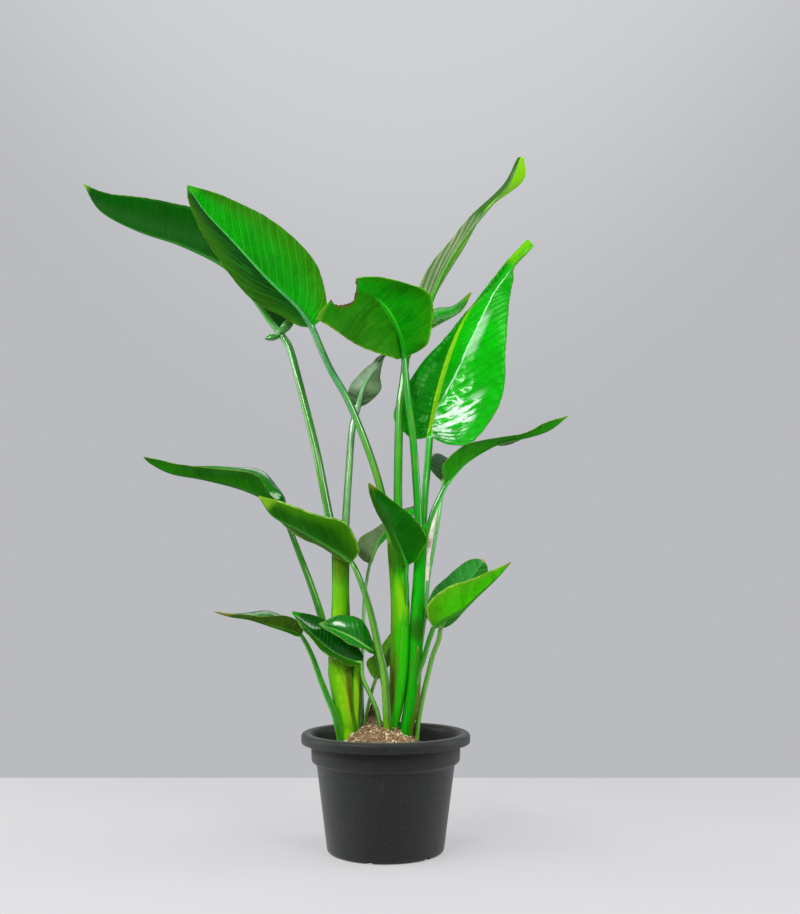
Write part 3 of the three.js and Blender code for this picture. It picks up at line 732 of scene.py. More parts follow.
place_in_scene("dried_sheath_strip", dry_sheath_mesh(), [dry_material()], "dry_sheath")

# Leaves
# Eighteen leaves, each a thin leathery blade folded along its midrib and a round, faintly
# channelled stalk that runs on under the blade as the midrib. The upper side is glossy, the
# underside waxy and duller, and fine parallel veins run out from the midrib to the edges.

# Sizes of the leaves are in millimetres.
BLADE_THICKNESS = 1.1
EDGE_THICKNESS = 0.6
BLADE_BASE_HALF_WIDTH = 3.2
HALF_CAMBER = 0.07
EDGE_WAVE = 1.6
EDGE_WAVES = 2.5
BASE_ROUNDING = 0.14
BASE_LENGTH = 0.045
STALK_POINTS = 16
RIB_STEPS = 60
RIB_TIP_RADIUS = 0.5
ROW_SPACING = 2.6
PLEAT_SPACING = 17
CRUMPLE_REACH = 0.16
CREASE_SOFTNESS = 0.012
CREASED_HALF_WIDTH = 25
# What a leaf has unless its own entry says otherwise. vein_spacing and the width of the rim are in
# metres, for the material. veins and shine are strengths on the left half and on the right one.
# shoulders says for a half where its crease runs, how that drifts and how high it stands.
# base_reach is where the painted shade at the base ends and where it is full, and rim a width and two
# colours.
USUAL_LEAF = {
    "tip": 1.3, "slant": 0.55, "columns": 14, "pleat": 0.08, "crumple": 0.5, "shoulders": {}, "flaps": [],
    "rib_end": 0.97, "rib_width": 2.8, "vein_spacing": 0.0135, "fine_veins": 16.0, "veins": (0.3, 0.3),
    "rim": (0.0009, (0.2, 0.36, 0.02), (0.07, 0.06, 0.01)), "patchy": 0.4, "base_reach": (0.42, 0.1),
    "tip_from": 0.93, "wear": 0.0, "ripple": 0.0, "shine": (0.2, 0.2), "coat_roughness": 0.09}


def edge_line(leaf, side, towards):
    """Edge of a blade, from the base of its midrib to its tip, rounded off beside the base."""
    midrib = [Vector(p) for p in leaf["midrib"]]
    inner = [Vector(p) for p in leaf[side]]

    def across(k):
        return (Vector(leaf["right"][k]) - Vector(leaf["left"][k])).normalized() * towards

    first = midrib[0] + across(0) * BLADE_BASE_HALF_WIDTH
    pairs = min(len(leaf["left"]), len(leaf["right"]))
    last = midrib[-1] + across(pairs - 1) * leaf["tip"]
    along = (midrib[1] - midrib[0]).normalized()
    rounded = first.lerp(inner[0], 0.5) - along * BASE_ROUNDING * (inner[0] - first).length
    line = smooth_path([first, rounded, *inner, last])
    spans = len(inner) + 2

    def place(t):
        base = (1 - math.exp(-t / BASE_LENGTH)) / (1 - math.exp(-1 / BASE_LENGTH))
        return line(((spans - 1) * t + base) / spans)

    return place


def length_of(path, parts):
    return sum((path((k + 1) / parts) - path(k / parts)).length for k in range(parts))


def fade_out(value, start, end):
    return min(1, max(0, (end - value) / (end - start)))


def blade(bm, leaf):
    """The thin blade: the upper side from the left edge to the right one, then back underneath. Its
    points stand closer together beside the midrib and near the base."""
    midrib = smooth_path(leaf["midrib"])
    left, right = edge_line(leaf, "left", -1), edge_line(leaf, "right", 1)
    length = length_of(midrib, 60)
    rows = max(40, round(length / ROW_SPACING))
    slant = leaf["slant"]
    count = leaf["columns"]
    shares = [k / count * abs(k / count) ** 0.35 for k in range(-count, count + 1)]
    columns = len(shares)
    middle, notes = [], []
    for i in range(rows + 1):
        t = (i / rows) * (0.5 + 0.5 * i / rows)
        centre, along = midrib(t), direction(midrib, t)
        halves = {-1: left(t) - centre, 1: right(t) - centre}
        fade = math.sin(math.pi * t)
        line, note = [], []
        for s in shares:
            towards = -1 if s < 0 else 1
            half = halves[towards]
            upper = along.cross(half * towards).normalized()
            share = abs(s)
            off = share * half.length
            vein = t * length - slant * off
            wave = EDGE_WAVE * share ** 2 * math.sin(math.tau * EDGE_WAVES * t + (1 if s < 0 else 3.2))
            pleat = leaf["pleat"] * math.sin(math.tau * vein / PLEAT_SPACING) * min(1, off / 6)
            camber = HALF_CAMBER * half.length * 4 * share * (1 - share)
            near, drift, height = leaf["shoulders"].get(towards, (0.5, 0, 0))
            crease = min(0.9, max(0.12, near + drift * t))
            rise, fall = share / crease, (1 - share) / (1 - crease)
            height *= min(1, half.length / CREASED_HALF_WIDTH)
            camber += height * (rise + fall - math.sqrt((rise - fall) ** 2 + CREASE_SOFTNESS)) / 2
            crumple = leaf["crumple"] * math.exp(-t / CRUMPLE_REACH) * min(1, off / 8)
            camber += crumple * noise.fractal((centre + half * share) / 14, 0.8, 2.1, 3)
            ragged = 0.7 * share ** 6 * noise.noise(Vector((t * length / 9, towards * 5, length)))
            reach = half * share + half.normalized() * ragged * fade
            line.append(centre + reach + upper * (camber * min(1, fade * 2.5) + (wave + pleat) * fade))
            note.append((t, s, vein, off, half.length - off))
        middle.append(line)
        notes.append(note)
    rings = []
    for i, line in enumerate(middle):
        top, bottom = [], []
        for j, spot in enumerate(line):
            ahead = middle[min(i + 1, rows)][j] - middle[max(i - 1, 0)][j]
            beside = line[min(j + 1, columns - 1)] - line[max(j - 1, 0)]
            normal = ahead.cross(beside).normalized()
            half = (BLADE_THICKNESS + (EDGE_THICKNESS - BLADE_THICKNESS) * abs(shares[j])) / 2
            groove = 0.5 * max(0, 1 - notes[i][j][3] / 3) * fade_out(notes[i][j][0], 0.9, 1.0)
            top.append((spot + normal * (half - groove)) * MM)
            bottom.append((spot - normal * half) * MM)
        rings.append(top + bottom[::-1])

    def chart(i, j):
        j = j % (2 * columns)
        t, s, vein, off, margin = notes[i][j if j < columns else 2 * columns - 1 - j]
        return {"place": (t, s), "vein": (vein * MM, off * MM), "margin": (margin * MM, 0)}

    sleeve(bm, rings, chart, lambda j: 0 if j < columns - 1 else 1)


def stalk(bm, leaf):
    """The stalk, which runs on under the blade as its midrib and thins away towards the tip. Each
    station is a place, a direction, a radius and a share of the midrib, from the tip to the root."""
    path, midrib = smooth_path([*leaf["stalk"], leaf["midrib"][0]]), smooth_path(leaf["midrib"])
    left, right = edge_line(leaf, "left", -1), edge_line(leaf, "right", 1)
    foot, top = leaf["radius"]
    steps = max(16, round(length_of(path, 40) / 5))
    stations = [(path(i / steps), direction(path, i / steps), foot + (top - foot) * i / steps, 0)
                for i in range(steps)]
    rib_end = leaf["rib_end"]
    for i in range(RIB_STEPS + 1):
        t = rib_end * i / RIB_STEPS
        along = direction(midrib, t)
        up = along.cross(right(t) - left(t)).normalized()
        left_over = 1 - t / rib_end
        fullness = 0.35 * left_over ** 6 + 0.65 * left_over ** 1.1
        radius = RIB_TIP_RADIUS + (top - RIB_TIP_RADIUS) * fullness
        sink = (radius - 0.25) * min(1, t / 0.1)
        stations.append((midrib(t) - up * sink, along, radius, t))
    stations.reverse()
    rings = []
    for at, along, radius, t in stations:
        if t > 0:
            up = along.cross(right(t) - left(t))
        up = (up - along * up.dot(along)).normalized()
        side = up.cross(along)
        ring = []
        for j in range(STALK_POINTS):
            angle = math.tau * j / STALK_POINTS
            dent = 0.16 * max(0, math.cos(angle)) ** 5 if t == 0 else 0
            reach = radius * (1 - dent)
            ring.append((at + up * math.cos(angle) * reach + side * math.sin(angle) * reach) * MM)
        rings.append(ring)
    travelled = [0]
    for a, b in zip(stations, stations[1:]):
        travelled.append(travelled[-1] + (a[0] - b[0]).length * MM)

    def chart(i, j):
        return {"place": (j / STALK_POINTS, 0), "vein": (travelled[-1] - travelled[i], stations[i][3])}

    sleeve(bm, rings, chart, lambda j: 2)


SHADED_CELLS = (0.002, 0.02, 0.001)
SPOT_BROWN = (0.1, 0.075, 0.008)
TORN_BROWN = (0.12, 0.07, 0.015)
PAINTED_GLARE_WHITE = (0.72, 0.9, 0.74)
WAXY_TINT = (0.35, 0.9, 0.3, 1)


def both(colours):
    """One colour for the left half and one for the right, which may be the same."""
    return colours if isinstance(colours[0], tuple) else (colours, colours)


def bloom_share(leaf, t, s, along_veins, broad):
    """Where the painted highlight lies: a line along the crease, a patch beside it, and glints on the
    folds at the base.
    """
    near, drift = leaf["bloom"]
    outward = calc("ABSOLUTE", s)
    from_crease = calc("SUBTRACT", outward, scaled(t, drift, near))
    wander = calc("ABSOLUTE", scaled(calc("SUBTRACT", broad, 0.5), 0.05, from_crease))
    line = times(share_between(wander, 0.024, 0.002), share_between(t, 0.2, 0.24))
    line = times(times(line, share_between(t, 0.74, 0.6)), scaled(broad, 1.1, 0.2))
    beside = times(share_between(from_crease, -0.005, 0.02), share_between(from_crease, 0.2, 0.1))
    beside = times(beside, share_between(calc("ABSOLUTE", calc("ADD", t, -0.4)), 0.08, 0.04))
    glint_patches = speckle(stretched(along_veins, (150, 34, 3)), 1.0, 3.0, 0.65)
    glint_patches = times(share_between(glint_patches, 0.43, 0.56), share_between(outward, 0.8, 0.68))
    glint_patches = times(glint_patches, share_between(scaled(outward, -0.1, t), 0.2, 0.14))
    return calc("MAXIMUM", line, calc("MAXIMUM", glint_patches, times(beside, times(broad, 0.65))))


def blade_material(name, leaf, glossy):
    """The look of one side of a blade: the shiny upper one, or the waxy one underneath."""
    material, tree, shader = new_material(name)
    at = object_place(tree)
    t, s = chart_place(tree, "place")
    vein, off = chart_place(tree, "vein")
    margin, _ = chart_place(tree, "margin")
    along_veins = add(tree, "ShaderNodeCombineXYZ", {0: vein, 1: off, 2: calc("SIGN", s)}).outputs[0]
    fine = speckle(stretched(along_veins, (1500, 24, 1)), 1.0, 2.0, 0.5)
    broad = speckle(stretched(along_veins, (210, 14, 3)), 1.0, 2.0, 0.6)
    cloud = speckle(at, 13.0, 3.0)
    grain = speckle(at, 520.0, 3.0)
    uneven = scaled(cloud, 0.012, vein)
    wave = calc("SINE", times(uneven, math.tau / leaf["vein_spacing"]))
    ridge = calc("POWER", scaled(wave, 0.5, 0.5), leaf["fine_veins"])
    on_right = share_between(s, -0.01, 0.01)
    colour = mix(on_right, *both(leaf["upper"] if glossy else leaf["under"]))
    outer, strength = leaf["outer"]
    sideways = share_between(calc("ABSOLUTE", s), 0.35, 1.0)
    colour = stain(colour, strength, sideways, outer)
    blotch = speckle(at, 75.0, 4.0, 0.7)
    patch = speckle(stretched(along_veins, (60, 22, 3)), 1.0, 3.0, 0.65)
    dark = mix(0.5, colour, SHADED_CELLS)
    light = mix(0.4, colour, leaf["vein"])
    colour = stain(colour, 0.75, share_between(cloud, 0.46, 0.66), dark)
    colour = stain(colour, 0.5, share_between(blotch, 0.45, 0.75), dark)
    colour = stain(colour, leaf["patchy"], share_between(patch, 0.5, 0.68), dark)
    colour = stain(colour, leaf["patchy"], share_between(patch, 0.46, 0.3), light)
    colour = stain(colour, 0.4, share_between(broad, 0.48, 0.75), light)
    colour = stain(colour, 0.3, share_between(fine, 0.5, 0.8), dark)
    # Painted shade: the blade darkens towards its base, in the base colour.
    if "base" in leaf:
        near = share_between(scaled(cloud, 0.1, t), *leaf["base_reach"])
        colour = stain(colour, 0.85, near, leaf["base"])
    on_left, on_other = leaf["veins"]
    seen = scaled(on_right, on_other - on_left, on_left)
    colour = stain(colour, seen, ridge, leaf["vein"])
    colour = stain(colour, 0.3, share_between(grain, 0.52, 0.75), light)
    colour = stain(colour, 0.35, share_between(grain, 0.5, 0.3), dark)
    rib_width = leaf["rib_width"] * MM
    band = scaled(t, -0.8 * rib_width, rib_width)
    rib_share = rest_of(share_between(calc("SUBTRACT", off, band), -0.0006, 0.0006))
    rib_end = leaf["rib_end"]
    lasting = times(rib_share, share_between(t, rib_end, rib_end * 0.6))
    colour = stain(colour, 0.9, lasting, leaf["rib"])
    # The rim colour along the edges is the margin's own yellowing and browning, and where a leaf's rim is
    # made wide and pale, as on the two folded leaves, also a painted highlight.
    edge_wander = scaled(grain, 0.0012, margin)
    width, pale, brown = leaf["rim"]
    edge_share = rest_of(share_between(edge_wander, width, width * 2))
    rim = mix(share_between(blotch, 0.4, 0.6), pale, brown)
    colour = stain(colour, 0.75, edge_share, rim)
    tip_from = leaf["tip_from"]
    tip_share = share_between(scaled(cloud, 0.06, t), tip_from, tip_from + 0.07)
    colour = stain(colour, 0.9, tip_share, mix(on_right, *both(leaf["tip_colour"])))
    wear = leaf["wear"]
    fleck = share_between(speckle(at, 160.0, 2.0), 0.74 - 0.1 * wear, 0.78 - 0.06 * wear)
    fleck = times(fleck, rest_of(tip_share))
    colour = stain(colour, 0.55 + 0.2 * wear, fleck, SPOT_BROWN)
    if "bite" in leaf:
        x, z, radius = (size * MM for size in leaf["bite"])
        spot = parts_of(at)
        across = calc("POWER", calc("ADD", spot["X"], -x), 2.0)
        upward = calc("POWER", calc("ADD", spot["Z"], -z), 2.0)
        away = calc("ADD", calc("SQRT", calc("ADD", across, upward)), -radius)
        dry = rest_of(share_between(scaled(grain, 0.004, away), 0.0025, 0.006))
        colour = stain(colour, 0.9, dry, TORN_BROWN)
    relief = scaled(fine, 0.12, times(ridge, 0.5))
    relief = scaled(broad, 0.8 if glossy else 0.4, relief)
    relief = scaled(wave, leaf["ripple"], relief)
    rough = scaled(cloud, 0.14, 0.2 if glossy else 0.36)
    shine = leaf["shine"] if glossy else (0.0, 0.0)
    coat = times(scaled(on_right, shine[1] - shine[0], shine[0]), rest_of(tip_share))
    relief = times(relief, scaled(tip_share, -0.85, 1.0))
    # Painted highlight: a pale line, a patch and glints at the base, laid into the colour of the left
    # half's upper side.
    if "bloom" in leaf and glossy:
        bloom = times(bloom_share(leaf, t, s, along_veins, broad), rest_of(on_right))
        colour = stain(colour, 0.85, bloom, PAINTED_GLARE_WHITE)
        coat = times(coat, share_between(t, 0.34, 0.16))
    feed(shader, Base_Color=colour, Roughness=rough, Specular_IOR_Level=0.25 if glossy else 0.07,
         Specular_Tint=WAXY_TINT, Coat_Weight=coat, Coat_Roughness=leaf["coat_roughness"],
         Normal=bump(relief, 0.65 if glossy else 0.4, 0.0007))
    return material


STALK_STREAK = (0.008, 0.12, 0.004)
STALK_CLOUD = (0.16, 0.3, 0.02)
STALK_SIDE_SHADE = (0.006, 0.09, 0.003)
STALK_SPOT = (0.14, 0.1, 0.015)
STALK_TINT = (0.5, 1, 0.5, 1)


def stalk_material(name, low, high, rib):
    """low, high and rib are the colours at the foot of the stalk, at its top and along the midrib."""
    material, tree, shader = new_material(name)
    at = object_place(tree)
    height, beyond = chart_place(tree, "vein")
    turn, _ = chart_place(tree, "place")
    side_shade = calc("ABSOLUTE", calc("SINE", times(turn, math.tau)))
    streak = speckle(stretched(at, (800, 800, 22)), 1.0, 2.0)
    cloud = speckle(at, 30.0, 3.0)
    colour = mix(share_between(height, 0.1, 0.26), low, high)
    colour = mix(share_between(beyond, 0.1, 0.6), colour, rib)
    colour = stain(colour, 0.55, share_between(streak, 0.42, 0.7), STALK_STREAK)
    colour = stain(colour, 0.3, share_between(cloud, 0.5, 0.75), STALK_CLOUD)
    # Painted shade: the two flanks of the stalk, either side of its channel, are darkened.
    colour = stain(colour, 0.75, share_between(side_shade, 0.5, 0.95), STALK_SIDE_SHADE)
    fleck = share_between(speckle(at, 190.0, 1.0), 0.74, 0.79)
    colour = stain(colour, 0.4, fleck, STALK_SPOT)
    on_stalk = rest_of(share_between(beyond, 0.0, 0.08))
    feed(shader, Base_Color=colour, Roughness=scaled(cloud, 0.2, 0.3),
         Specular_IOR_Level=0.15, Specular_Tint=STALK_TINT,
         Coat_Weight=scaled(on_stalk, 0.95, 0.03), Coat_Roughness=0.17,
         Normal=bump(streak, 0.3, 0.0005))
    return material


def bite_out(blade_maker, x, z, radius):
    """Takes a ragged bite out of the edge of a blade, seen from the front."""
    bmesh.ops.recalc_face_normals(blade_maker, faces=blade_maker.faces)
    whole = bpy.data.objects.new("whole", bpy.data.meshes.new("whole"))
    blade_maker.to_mesh(whole.data)
    bpy.context.scene.collection.objects.link(whole)
    bm = bmesh.new()
    ring = bmesh.ops.create_circle(bm, cap_ends=True, segments=110, radius=radius * MM,
                                   matrix=Matrix.Rotation(math.pi / 2, 4, "X"))["verts"]
    for v in ring:
        v.co *= 1 + 0.07 * noise.fractal(v.co * 260, 0.9, 2.2, 3)
        v.co += Vector((x, -400, z)) * MM
    drawn = bmesh.ops.extrude_face_region(bm, geom=bm.faces[:])["geom"]
    far = [v for v in drawn if isinstance(v, bmesh.types.BMVert)]
    bmesh.ops.translate(bm, verts=far, vec=(0, 600 * MM, 0))
    bmesh.ops.recalc_face_normals(bm, faces=bm.faces)
    carve(whole, bm)
    blade_maker.clear()
    blade_maker.from_mesh(whole.data)
    bpy.data.objects.remove(whole)


def flap(bm, start, end, half_width, curl):
    """A small curled lobe of blade beside the top of a stalk."""
    first, last = Vector(start), Vector(end)
    along = (last - first).normalized()
    side = along.cross(Vector((0, -1, 0))).normalized()
    steps, across = 18, 8
    rings = []
    for i in range(steps + 1):
        share = i / steps
        reach = half_width * math.sin(math.pi * min(0.97, 0.06 + 0.94 * share)) ** 0.7
        at = first.lerp(last, share) + Vector((0, -1, 0)) * curl * math.sin(math.pi * share) * 0.6
        line = []
        for j in range(across + 1):
            angle = (j / across - 0.5) * 2.6
            lifted = Vector((0, 1, 0)) * (1 - math.cos(angle)) * curl
            line.append(at + side * math.sin(angle) * reach + lifted)
        rings.append([p * MM for p in line] + [(p + Vector((0, 0.7, 0))) * MM for p in line[::-1]])

    def chart(i, j):
        s = (j if j <= across else 2 * across + 1 - j) / across * 2 - 1
        return {"place": (0.1 + 0.4 * abs(s), 0), "vein": (0.3, 0)}

    sleeve(bm, rings, chart, lambda j: 2)


def grow_leaf(name, slot, **leaf):
    """In millimetres: midrib runs from the base of the blade to its tip, left and right are the edges
    beside it as the underside shows them, stalk runs from its root up to just below the blade, and
    radius is the stalk's at its root and at its top. Colours are for the whole leaf or for each half."""
    leaf = {**USUAL_LEAF, **leaf}
    bm = bmesh.new()
    blade(bm, leaf)
    if "bite" in leaf:
        bite_out(bm, *leaf["bite"])
    stalk(bm, leaf)
    for lobe in leaf["flaps"]:
        flap(bm, *lobe)
    look = [
        blade_material(name + " upper side", leaf, True),
        blade_material(name + " underside", leaf, False),
        stalk_material(name + " stalk", *leaf["stalk_colours"], leaf["rib"]),
    ]
    place_in_scene("leaf." + name, bm, look, "leaf_" + name)


# Top leaves
# The six leaves on the longest stalks. Their blades stand above everything else, and most of them
# are seen from the underside.

grow_leaf(
    "top_left_back", "leaf_deep",
    midrib=[(-162, 58, 749), (-196, 74, 799), (-250, 86, 863), (-325, 96, 905), (-401, 104, 933),
            (-463, 109, 967), (-494, 112, 1013)],
    left=[(-155, 104, 817), (-205, 128, 908), (-292, 138, 959), (-391, 134, 988), (-459, 124, 998)],
    right=[(-141, 70, 821), (-188, 73, 906), (-279, 82, 953), (-377, 92, 981), (-451, 102, 994)],
    stalk=[(-74, 4, 430), (-84, 8, 471), (-104, 20, 565), (-132, 38, 670), (-148, 52, 725)],
    radius=(6.8, 5.6), tip=4.5, veins=(0.0, 0.0), tip_from=0.965, shine=(0.9, 0.9), patchy=0.3,
    flaps=[((-165, 50, 750), (-142, 46, 773), 8, 5), ((-164, 52, 747), (-187, 50, 741), 6, 3)],
    upper=(0.004, 0.09, 0.002), under=((0.006, 0.1, 0.001), (0.001, 0.05, 0.001)), rib=(0.01, 0.11, 0.004),
    vein=(0.008, 0.12, 0.002), outer=((0.001, 0.085, 0.001), 0.5), tip_colour=(0.14, 0.34, 0.01),
    stalk_colours=((0.075, 0.369, 0.016), (0.077, 0.347, 0.05)))
# The left half's underside is far darker than the right: painted shade on the half that turns away from
# the light.
grow_leaf(
    "top_left_broad", "leaf_mid",
    midrib=[(-110, -10, 744), (-130, -16, 772), (-173, -30, 811), (-219, -50, 858), (-260, -70, 899),
            (-283, -84, 932)],
    left=[(-160, 12, 768), (-216, 22, 805), (-262, 2, 868), (-289, -36, 918)],
    right=[(-89, -4, 786), (-107, -10, 844), (-167, -26, 900), (-232, -54, 926)],
    stalk=[(8, 0, 424), (-6, -4, 496), (-26, -8, 561), (-56, -10, 634), (-84, -10, 684)],
    radius=(5.6, 4.9), slant=1.1, veins=(0.12, 0.3), patchy=0.45,
    upper=((0.006, 0.22, 0.002), (0.006, 0.25, 0.002)),
    under=((0.001, 0.049, 0.001), (0.001, 0.249, 0.001)), rib=(0.04, 0.46, 0.06), vein=(0.03, 0.46, 0.01),
    outer=((0.028, 0.125, 0.002), 0.8), tip_colour=(0.03, 0.3, 0.003),
    stalk_colours=((0.085, 0.33, 0.014), (0.05, 0.271, 0.082)))
grow_leaf(
    "centre_torn", "leaf_mid",
    midrib=[(26, -14, 698), (17, -40, 729), (-1, -84, 753), (-26, -128, 761), (-56, -164, 747),
            (-86, -190, 713)],
    left=[(8, -28, 694), (-28, -66, 697), (-52, -108, 701), (-71, -152, 706)],
    right=[(63, -38, 720), (65, -72, 772), (23, -118, 779), (-39, -166, 769)],
    stalk=[(47, -6, 424), (45, -9, 488), (39, -12, 575), (32, -14, 634), (28, -14, 675)],
    radius=(5.8, 4.8), tip=6, veins=(0.15, 0.15), patchy=0.65, bite=(-68, 764, 29), rib_end=0.52,
    rib_width=5,
    upper=((0.02, 0.2, 0.001), (0.004, 0.25, 0.001)), under=((0.012, 0.228, 0.001), (0.001, 0.337, 0.001)),
    rib=(0.05, 0.75, 0.01), vein=(0.1, 0.32, 0.01), outer=((0.03, 0.225, 0.001), 0.5),
    tip_colour=(0.12, 0.3, 0.02), stalk_colours=((0.001, 0.304, 0.001), (0.001, 0.32, 0.001)),
    rim=(0.0018, (0.16, 0.5, 0.01), (0.09, 0.2, 0.01)))
grow_leaf(
    "top_right_slim", "leaf_bright",
    midrib=[(29, 10, 702), (56, 10, 763), (86, 4, 832), (120, -8, 884), (155, -24, 924), (180, -40, 950),
            (197, -52, 988)],
    left=[(38, 38, 792), (69, 46, 860), (103, 38, 901), (134, 20, 930), (176, -8, 966)],
    right=[(66, 42, 790), (91, 46, 836), (118, 36, 883), (151, 16, 930), (203, -16, 966)],
    stalk=[(20, 2, 424), (17, 2, 489), (18, 4, 577), (20, 6, 630), (24, 8, 660)],
    radius=(6.6, 5.6), tip=4.5, slant=3.0, veins=(0.95, 0.2), tip_from=0.64, fine_veins=2.0,
    shine=(0.05, 0.05), patchy=0.2, vein_spacing=0.038,
    upper=((0.02, 0.13, 0.008), (0.016, 0.074, 0.015)),
    under=((0.211, 0.281, 0.133), (0.189, 0.61, 0.001)), rib=(0.14, 0.3, 0.07), vein=(0.025, 0.1, 0.015),
    outer=((0.239, 0.3, 0.172), 0.4), tip_colour=((0.02, 0.1, 0.003), (0.24, 0.66, 0.002)),
    stalk_colours=((0.029, 0.347, 0.001), (0.04, 0.332, 0.001)),
    rim=(0.0012, (0.3, 0.55, 0.1), (0.14, 0.2, 0.05)))
grow_leaf(
    "centre_twisted", "leaf_mid",
    midrib=[(-43, 22, 630), (-34, 26, 661), (-18, 32, 688), (-1, 42, 717), (68, 55, 770), (107, 62, 788),
            (131, 66, 819)],
    left=[(-57, 40, 662), (-30, 50, 697), (1, 15, 712), (78, 45, 762), (114, 58, 785)],
    right=[(-9, 42, 660), (-9, 52, 686), (1, 75, 728), (64, 70, 787), (102, 68, 798)],
    stalk=[(-60, 2, 424), (-58, 6, 475), (-55, 12, 534), (-51, 18, 595)],
    radius=(5.8, 4.8), veins=(0.35, 0.35), shine=(0.05, 0.05), patchy=0.5, base_reach=(0.24, 0.15),
    upper=((0.001, 0.258, 0.001), (0.001, 0.449, 0.001)), under=((0.22, 0.29, 0.21), (0.24, 0.36, 0.18)),
    rib=(0.2, 0.34, 0.15), vein=(0.2, 0.3, 0.16), outer=((0.065, 0.186, 0.043), 0.5),
    tip_colour=(0.16, 0.32, 0.01), stalk_colours=((0.127, 0.349, 0.103), (0.176, 0.39, 0.184)),
    base=(0.006, 0.035, 0.004))
grow_leaf(
    "right_glossy", "leaf_bright",
    midrib=[(64, 12, 582), (69, 13, 606), (79, 14, 657), (98, 14, 719), (122, 13, 771), (155, 12, 807),
            (183, 10, 845), (203, 8, 862), (217, 6, 879)],
    left=[(129, -15, 575), (168, -18, 636), (176, -14, 716), (183, -4, 786), (189, 2, 820), (191, 6, 838),
          (207, 4, 856)],
    right=[(28, 24, 590), (11, 26, 622), (50, 24, 693), (96, 20, 745), (145, 16, 805), (180, 12, 850),
           (198, 9, 870)],
    stalk=[(52, 6, 424), (56, 7, 489), (60, 10, 534)],
    radius=(5.2, 5), tip=8, veins=(0.4, 0.3), tip_from=0.76, shine=(0.6, 0.05), patchy=0.15,
    vein_spacing=0.0075, columns=30, shoulders={-1: (-0.17, 1.5, 12)}, crumple=5, pleat=0.3, ripple=0.12,
    rib_width=6.5, rib_end=0.66, bloom=(-0.17, 1.5),
    upper=((0.001, 0.396, 0.001), (0.001, 0.187, 0.001)), under=(0.006, 0.4, 0.002),
    rib=(0.24, 0.55, 0.004), vein=(0.003, 0.25, 0.001), outer=((0.001, 0.447, 0.001), 0.4),
    tip_colour=((0.08, 0.38, 0.002), (0.13, 0.46, 0.002)),
    stalk_colours=((0.013, 0.451, 0.001), (0.015, 0.408, 0.001)))

# Middle leaves
# Six leaves at half height: a long one and a folded one on the left, a slim one and one turned
# away on the right, and two in the middle.

grow_leaf(
    "right_slim", "leaf_mid",
    midrib=[(87, 2, 512), (96, 8, 526), (122, 16, 551), (169, 26, 577), (212, 36, 587), (246, 44, 599),
            (275, 50, 621)],
    left=[(84, -6, 542), (112, -6, 567), (167, 6, 581), (209, 20, 593), (242, 32, 609)],
    right=[(106, 30, 556), (134, 44, 580), (176, 50, 577), (214, 54, 589), (245, 56, 604)],
    stalk=[(56, 0, 402), (61, -1, 446), (68, 0, 472), (79, 1, 496)],
    radius=(4.4, 3.8), wear=1.0,
    upper=(0.01, 0.18, 0.003), under=((0.012, 0.218, 0.001), (0.1, 0.2, 0.06)), rib=(0.04, 0.3, 0.01),
    vein=(0.06, 0.26, 0.01), outer=((0.012, 0.208, 0.001), 0.3), tip_colour=(0.09, 0.3, 0.006),
    stalk_colours=((0.041, 0.524, 0.031), (0.052, 0.535, 0.051)))
grow_leaf(
    "right_rear", "leaf_deep",
    midrib=[(84, 30, 520), (90, 60, 534), (98, 100, 548), (108, 145, 558), (117, 190, 562)],
    left=[(108, 55, 548), (126, 95, 564), (126, 145, 566)],
    right=[(65, 58, 546), (71, 100, 570), (89, 145, 572)],
    stalk=[(50, 4, 280), (57, 9, 330), (61, 13, 375), (69, 18, 420), (77, 24, 465)],
    radius=(2.9, 2.6), veins=(0.6, 0.6), shine=(0.05, 0.05),
    upper=((0.006, 0.08, 0.004), (0.001, 0.09, 0.001)), under=(0.02, 0.12, 0.01), rib=(0.1, 0.2, 0.06),
    vein=(0.14, 0.22, 0.12), outer=((0.001, 0.098, 0.001), 0.3), tip_colour=(0.04, 0.15, 0.01),
    stalk_colours=((0.227, 0.803, 0.181), (0.261, 0.892, 0.235)))
grow_leaf(
    "mid_left_long", "leaf_mid",
    midrib=[(-149, 8, 478), (-166, 2, 488), (-207, -10, 505), (-259, -24, 517), (-304, -36, 524),
            (-331, -44, 536), (-342, -50, 545)],
    left=[(-156, 25, 504), (-183, 34, 534), (-223, 26, 538), (-293, -8, 534), (-327, -34, 542)],
    right=[(-167, -12, 496), (-188, -32, 522), (-243, -44, 531), (-291, -48, 534), (-322, -52, 542)],
    stalk=[(-74, 2, 262), (-87, 2, 300), (-95, 2, 329), (-108, 4, 366), (-125, 6, 409), (-145, 8, 460)],
    radius=(6.4, 3.6), tip=2.6, tip_from=0.95, shine=(0.35, 0.35), columns=24, shoulders={-1: (0.5, 0, 7)},
    crumple=1.8,
    upper=((0.001, 0.141, 0.001), (0.006, 0.14, 0.003)), under=((0.02, 0.2, 0.002), (0.014, 0.172, 0.001)),
    rib=(0.03, 0.14, 0.01), vein=(0.02, 0.22, 0.003), outer=((0.015, 0.23, 0.001), 0.5),
    tip_colour=(0.08, 0.16, 0.01), stalk_colours=((0.068, 0.351, 0.001), (0.03, 0.167, 0.019)))
